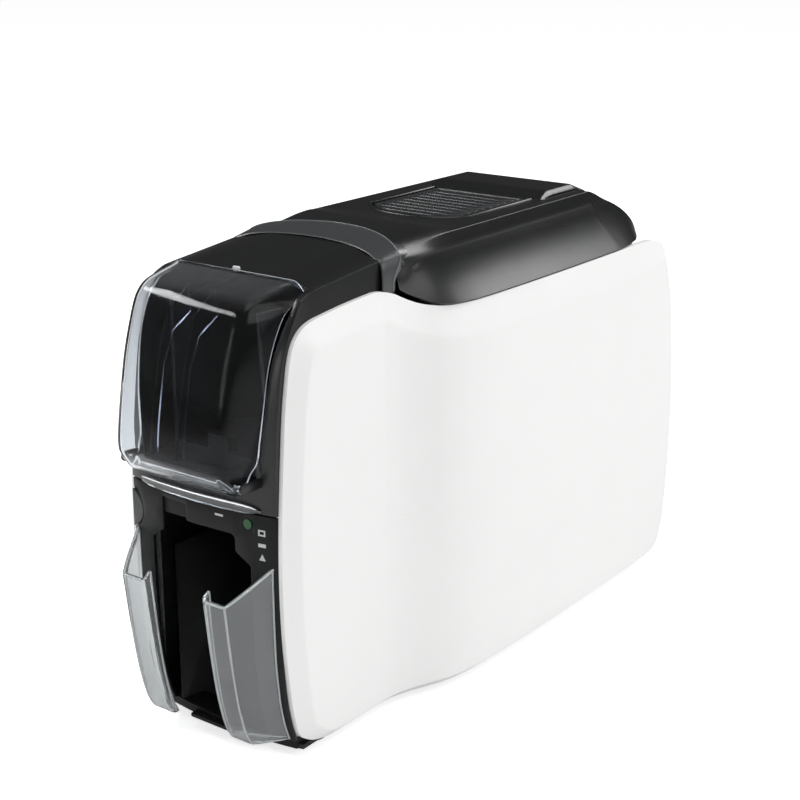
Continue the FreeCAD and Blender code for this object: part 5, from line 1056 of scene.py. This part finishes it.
LEVEL_POINTS = 9
HOOD_RISE = 2.3
HOOD_HALF_WIDTH = 46
COLLAR_BLEND = 144
# The next three pairs hold at the cover's front end and from COLLAR_BLEND on
CREST_EDGES = (45, 48.5)
CREST_ROUNDINGS = (4.4, 0.35)
CREASE_ROUNDINGS = (4.2, 2.2)
FRONT_ARCH = (
    # x and height of the cover's front end, just under the collar's arch
    (0, 254.7), (20, 254.3), (30, 253.6), (39, 252.2), (45.4, 249.8), (49, 247.4),
    (50.9, 245.8),
)
NO_LIMIT = 300


def arch_share(x):
    """1 in the middle of the collar's arch and 0 at its sides."""
    return clamp(1 - (x / 50) ** 2)


def collar_rear(x):
    """How far back the collar's rear edge lies over the cover's top."""
    return 99.5 + 18.5 * arch_share(x) ** 1.1


def crest_height(x, back):
    """Height of the cover's top: flat, with a low hood behind the collar."""
    start = collar_rear(x) - 9
    at_side = fade(abs(x), HOOD_HALF_WIDTH - 4, HOOD_HALF_WIDTH)
    hood = HOOD_RISE * soft((back - start) / 7) * (1 - fade(back, 136, 164)) * (1 - at_side)
    return COVER_CREST + hood


def arch_height(x):
    """Height of the cover's front end at a place across; there is no limit beyond its sides."""
    return table(FRONT_ARCH, abs(x)) if abs(x) < FRONT_ARCH[-1][0] else NO_LIMIT


def cover_section(back):
    """Half section of the cover from the middle over crest, crease and flank to the skirt."""
    half = table(COVER_FOOT, back, 1)
    foot_up = table(COVER_FOOT, back, 2)
    top = table(COVER_TOP, back)
    sharp = fade(back, COVER_FRONT, COLLAR_BLEND)
    crease_x = min(COVER_CREASE[0], half - 0.6)
    crease_up = COVER_CREASE[1]
    edge_x = min(mix(*CREST_EDGES, sharp), crease_x - 2.4)
    flat = [edge_x * share for share in CREST_SHARES] + [edge_x - inset for inset in CREST_INSETS]
    path = [(x, crest_height(x, back)) for x in flat]
    painted_highlight = (edge_x, crest_height(edge_x, back), 0)
    crease = (crease_x, crease_up, 0)
    bend_end = (mix(crease_x, half, 0.9), mix(crease_up, foot_up, 0.9), 0)
    bends = corner((*path[-1], 0), painted_highlight, crease, mix(*CREST_ROUNDINGS, sharp), 4)
    bends += corner(painted_highlight, crease, bend_end, mix(*CREASE_ROUNDINGS, sharp), 4)
    path += [point[:2] for point in bends]
    for share in FLANK_SHARES:
        sag = FLANK_SAG * math.sin(math.pi * share)
        path.append((mix(crease_x, half, share) - sag, mix(crease_up, foot_up, share) - sag * 0.6))
    if back < COLLAR_BLEND:
        path = [(x, mix(min(up, arch_height(x)), up, sharp)) for x, up in path]
    return path if top > COVER_CREST - 0.1 else cut_level(path, top, foot_up)


def cut_level(path, top, foot_up):
    """The section cut off level at a height, with as many points as before."""
    kept = [point for point in path if point[1] < top]
    if not kept:
        kept = [(path[-1][0], foot_up)]
    first = len(path) - len(kept)
    outer = kept[0]
    if first > 0:
        inner = path[first - 1]
        share = (inner[1] - top) / max(inner[1] - outer[1], 0.01)
        outer = (mix(inner[0], outer[0], share), top)
    level = [(outer[0] * step / LEVEL_POINTS, top) for step in range(LEVEL_POINTS)]
    return level + even_points([outer] + kept, len(path) - LEVEL_POINTS)


def even_points(line, count):
    """Points at even steps along a bent line."""
    runs = [math.dist(a, b) for a, b in zip(line, line[1:])]
    whole = sum(runs)
    found = []
    for goal in spread(0, whole, count):
        i = 0
        while i < len(runs) - 1 and goal > runs[i]:
            goal -= runs[i]
            i += 1
        t = clamp(goal / runs[i]) if runs[i] > 0 else 0
        found.append(tuple(mix(a, b, t) for a, b in zip(line[i], line[i + 1])))
    return found


def cover_shell():
    """The cover's skin with the well of the release button and the well's rim."""
    rows = []
    for first, gap, count in COVER_ROWS:
        for step in range(count):
            back = first + gap * step
            section = both_sides(cover_section(back))
            rows.append([(x, back, up) for x, up in section])
    piece = grid_piece("cover_skin", rows, BLACK, closed=False)
    thicken(piece, COVER_WALL)
    carve(piece, prism("well cutter", button_outline(1.5), 240, 262, "Z", BLACK))
    finish(piece, COVER, "gloss_black", "cover_shell")
    rim = looped("button_rim", BUTTON_RIM, BLACK, False)
    finish(rim, COVER, "gloss_black")


# Release button in the cover

BUTTON_HALF_WIDTH = 31
BUTTON_FRONT = 171
BUTTON_CHEEK = 184.5
BUTTON_REAR = 246.5
BUTTON_RIM = (
    # how far out of the pad's plan and height, round the section
    (1.6, 251.2), (1.6, 252.5), (2, 252.95), (3.4, 253), (4.2, 252.5), (4.5, 251.6),
    (1.6, 251.2),
)
BUTTON_PAD = (
    # how far out of the pad's plan and height, from the foot over the lip into the dish
    (0, 244), (0, 251.7), (-0.4, 252.25), (-1.4, 252.4), (-2.2, 252.1), (-2.7, 251),
    (-2.9, 250.6),
)
RIB_COUNT = 9
RIB_REAR = 240.6
RIB_PITCH = 7.4
RIB_REACH = 28
RIB_FOOT = 250.3
RIB_END_DROP = 0.9
RIB_PROFILE = (
    # distance back of the rib's middle, height
    (-3.1, 250.4), (-3, 251.3), (-2.4, 252), (-1.2, 252.3), (0.6, 252.1), (2.4, 251.5),
    (3.4, 250.8), (3.5, 250.4),
)


def looped(name, section, material, caps):
    """A piece whose section runs round the plan of the button."""
    rows = [[(x, back, up) for x, back in button_outline(grow)] for grow, up in section]
    return grid_piece(name, rows, material, caps=caps)


def button_outline(grow):
    """Plan of the release button: straight behind, arched in front with rounded cheeks."""
    half = BUTTON_HALF_WIDTH + grow
    front = BUTTON_FRONT - grow
    cheek = BUTTON_CHEEK - grow * 0.3
    rear = BUTTON_REAR + grow * 0.4
    arch = [(half * share, mix(front, cheek, abs(share) ** 2.6)) for share in spread(-1, 1, 19)]
    return [(half, rear), (-half, rear)] + arch


def release_button():
    """Press pad with a raised lip and cross ribs in its dish."""
    pad = looped("release_pad", BUTTON_PAD, RIBBED, True)
    finish(pad, "release_button_body", "matte_black", "release_button")
    for number in range(RIB_COUNT):
        back = RIB_REAR - RIB_PITCH * number
        reach = RIB_REACH * clamp((back - 172) / 14) ** 0.4
        rib = grip_rib(f"grip_rib_{number}", reach, back)
        finish(rib, "release_button_body", "matte_black")


def grip_rib(name, reach, back):
    """A broad rounded rib that rises steeply in front and falls gently behind."""
    rows = []
    for x in (-reach, -reach + 1.2, -reach * 0.5, 0, reach * 0.5, reach - 1.2, reach):
        lower = RIB_END_DROP if abs(x) == reach else 0
        rows.append([(x, back + way, max(RIB_FOOT, up - lower)) for way, up in RIB_PROFILE])
    return grid_piece(name, rows, RIBBED, smooth_angle=50)


# Raised cap behind the button

CAP_PROFILE = (
    # distance back, height
    (249.6, 251.6), (250.2, 252.5), (252, 253.3), (256, 254.5), (259.6, 255.5), (262, 255.8),
    (266, 255.85), (286, 255.85), (289.6, 255.2), (298, 251.2), (299.6, 250),
)
CAP_HALF_WIDTH = 41
CAP_SLANT = 3.6
CAP_ROUNDING = 1.5


def cap_half(back, up):
    """Right half of the cap's section, from the middle over its rounded shoulder to its foot."""
    half = CAP_HALF_WIDTH
    top = half - CAP_SLANT * clamp((up - 251) / 5)
    low = min(250.4 if back > 290 else 251.4, up - 0.1)
    reach = min(CAP_ROUNDING, 0.4 * (up - low) + 0.05)
    row = [(0, back, up), (top * 0.5, back, up)]
    row += corner((0, back, up), (top, back, up), (half, back, low), reach, 4)
    return row + [(half - 0.5, back, mix(low, up, 0.5)), (half, back, low)]


def cover_cap():
    rows = [both_sides(cap_half(back, up)) for back, up in spline(CAP_PROFILE, 3)]
    piece = grid_piece("cover_cap_skin", rows, BLACK)
    finish(piece, COVER, "gloss_black", "cover_cap")


# Collar over the housing

COLLAR_ARCH = (
    # x and height of the collar's outer face, from the middle to its foot
    (0, 255.2), (10, 255.1), (20, 254.8), (30, 254.2), (39, 252.9), (45.4, 250.9),
    (49, 248.2), (50.9, 243.6), (51.5, 238), (51.6, 231),
)
COLLAR_ROWS = (
    # share of the way from the front edge to the rear one, how far the row lies inside the face
    (0, 0.7), (0.03, 0.15), (0.1, 0), (0.3, 0), (0.5, 0), (0.7, 0), (0.85, 0),
    (0.95, 0), (1, 0.25), (1.02, 1.2), (1.5, 1.6),
)
COLLAR_WALL = 1.5
COLLAR_FRONT = 84.4
COLLAR_FRONT_BOW = 9.4
COLLAR_FLANK = 91.4
COLLAR_FLANK_SLANT = 8.1
# The next two pairs hold at the collar's sides and on its top
COLLAR_FRONT_LIFT = (-0.4, -2.2)
COLLAR_REAR_LIFT = (0.6, 0.35)
SHOULDER = (247.6, 5, 0.8)


def collar_point(x, up, way, share, step_in):
    """Place on the collar over a point of its arch, on the way from its front to its rear."""
    on_top = soft((up - 246.5) / 5)
    shoulder_up, shoulder_reach, shoulder_lift = SHOULDER
    shoulder = math.exp(-((up - shoulder_up) / shoulder_reach) ** 2)
    front = COLLAR_FRONT + COLLAR_FRONT_BOW * arch_share(x) ** 1.2
    flank = COLLAR_FLANK + COLLAR_FLANK_SLANT * soft((up - 234.7) / 14)
    rear = mix(flank, collar_rear(x), fade(up, 244, 249))
    rear_lift = mix(*COLLAR_REAR_LIFT, on_top) + shoulder_lift * shoulder
    lift = mix(mix(*COLLAR_FRONT_LIFT, on_top), rear_lift, min(share, 1)) - step_in
    return x + way.x * lift, mix(front, rear, share), up + way.y * lift


def collar():
    """Band that arches over the housing: it rises to the rear and ends in a crisp edge, with a pale
    bead on that edge that is a painted highlight.
    """
    arch = both_sides(spline(COLLAR_ARCH, 3))[::-1]
    outward = crossways(arch)
    rows = [[collar_point(x, up, way, share, step_in) for (x, up), way in zip(arch, outward)]
            for share, step_in in COLLAR_ROWS]
    piece = grid_piece("cover_collar_band", rows, GREY, closed=False)
    thicken(piece, COLLAR_WALL)
    finish(piece, COVER, "grey_trim", "cover_collar")
    # Painted highlight: a pale bead laid along the collar's rear edge
    painted_highlight = bead("cover_collar_edge", rows[-4], 0.34, True, PAINTED_HIGHLIGHT_GREY)
    finish(painted_highlight, COVER, "grey_trim")


# Camera, placed in millimetres like the printer, and lamps and floor, in metres

CAMERA_PLACE = (512.9, -526.6, 422.8)
CAMERA_YAW = 36.46
CAMERA_PITCH = 17.87
CAMERA_LENS = 71.24
CAMERA_SENSOR = 36
FLOOR_REACH = 6
LAMPS = (
    # name, place, what it is turned to, width and height, power
    ("rear right softbox", (0.36, 1.6, 1.5), (0.03, 0.05, 0.23), (1.1, 0.75), 17),
    ("overhead softbox", (0.25, -0.2, 1.9), (0, 0.02, 0.15), (1.2, 1.2), 10.5),
    ("right softbox", (1.66, 0.28, 0.95), (0, 0.05, 0.12), (1.7, 1.1), 12),
    ("left strip", (-0.85, -0.5, 1.12), (0, -0.17, 0.23), (1, 0.16), 8),
    ("front softbox", (-0.35, -1.7, 0.55), (0, -0.1, 0.15), (0.5, 0.7), 3),
)


def camera():
    data = bpy.data.cameras.new("photo view")
    data.lens = CAMERA_LENS
    data.sensor_width = CAMERA_SENSOR
    data.clip_start = 0.01
    seen = added("photo view", data)
    seen.location = at(*CAMERA_PLACE)
    seen.rotation_euler = (math.radians(90 - CAMERA_PITCH), 0, math.radians(CAMERA_YAW))
    bpy.context.scene.camera = seen


def area_light(name, place, target, size, power):
    data = bpy.data.lights.new(name, "AREA")
    data.shape = "RECTANGLE"
    data.size, data.size_y = size
    data.energy = power
    lamp = added(name, data)
    lamp.location = place
    lamp.rotation_euler = (Vector(target) - Vector(place)).to_track_quat("-Z", "Y").to_euler()


def floor():
    mesh = bpy.data.meshes.new("studio floor")
    reach = (-FLOOR_REACH, FLOOR_REACH)
    mesh.from_pydata([(x, y, 0) for x, y in rectangle(reach, reach)], [], [range(4)])
    sheet = added("studio floor", mesh)
    sheet.data.materials.append(FLOOR)


def surroundings():
    """White to the camera, fainter through clear plastic, dim for light and for reflections."""
    world = bpy.data.worlds.new("studio")
    world.use_nodes = True
    tree = world.node_tree
    sky = tree.nodes["Background"]
    sky.inputs["Color"].default_value = (1, 1, 1, 1)
    level = larger(tree, chosen(tree, "Is Glossy Ray", WORLD_LIGHT, WORLD_GLOSS),
                   seen_level(tree, 1, WORLD_THROUGH))
    tree.links.new(level, sky.inputs["Strength"])
    bpy.context.scene.world = world


def build():
    camera()
    floor()
    surroundings()
    bpy.context.scene.view_settings.view_transform = "Standard"
    for lamp in LAMPS:
        area_light(*lamp)
    dress_frame()
    side_panels()
    housing()
    bezel()
    sill()
    foot()
    light_bar()
    power_button()
    markings()
    feeder_door()
    guards()
    cover_shell()
    release_button()
    cover_cap()
    collar()


build()
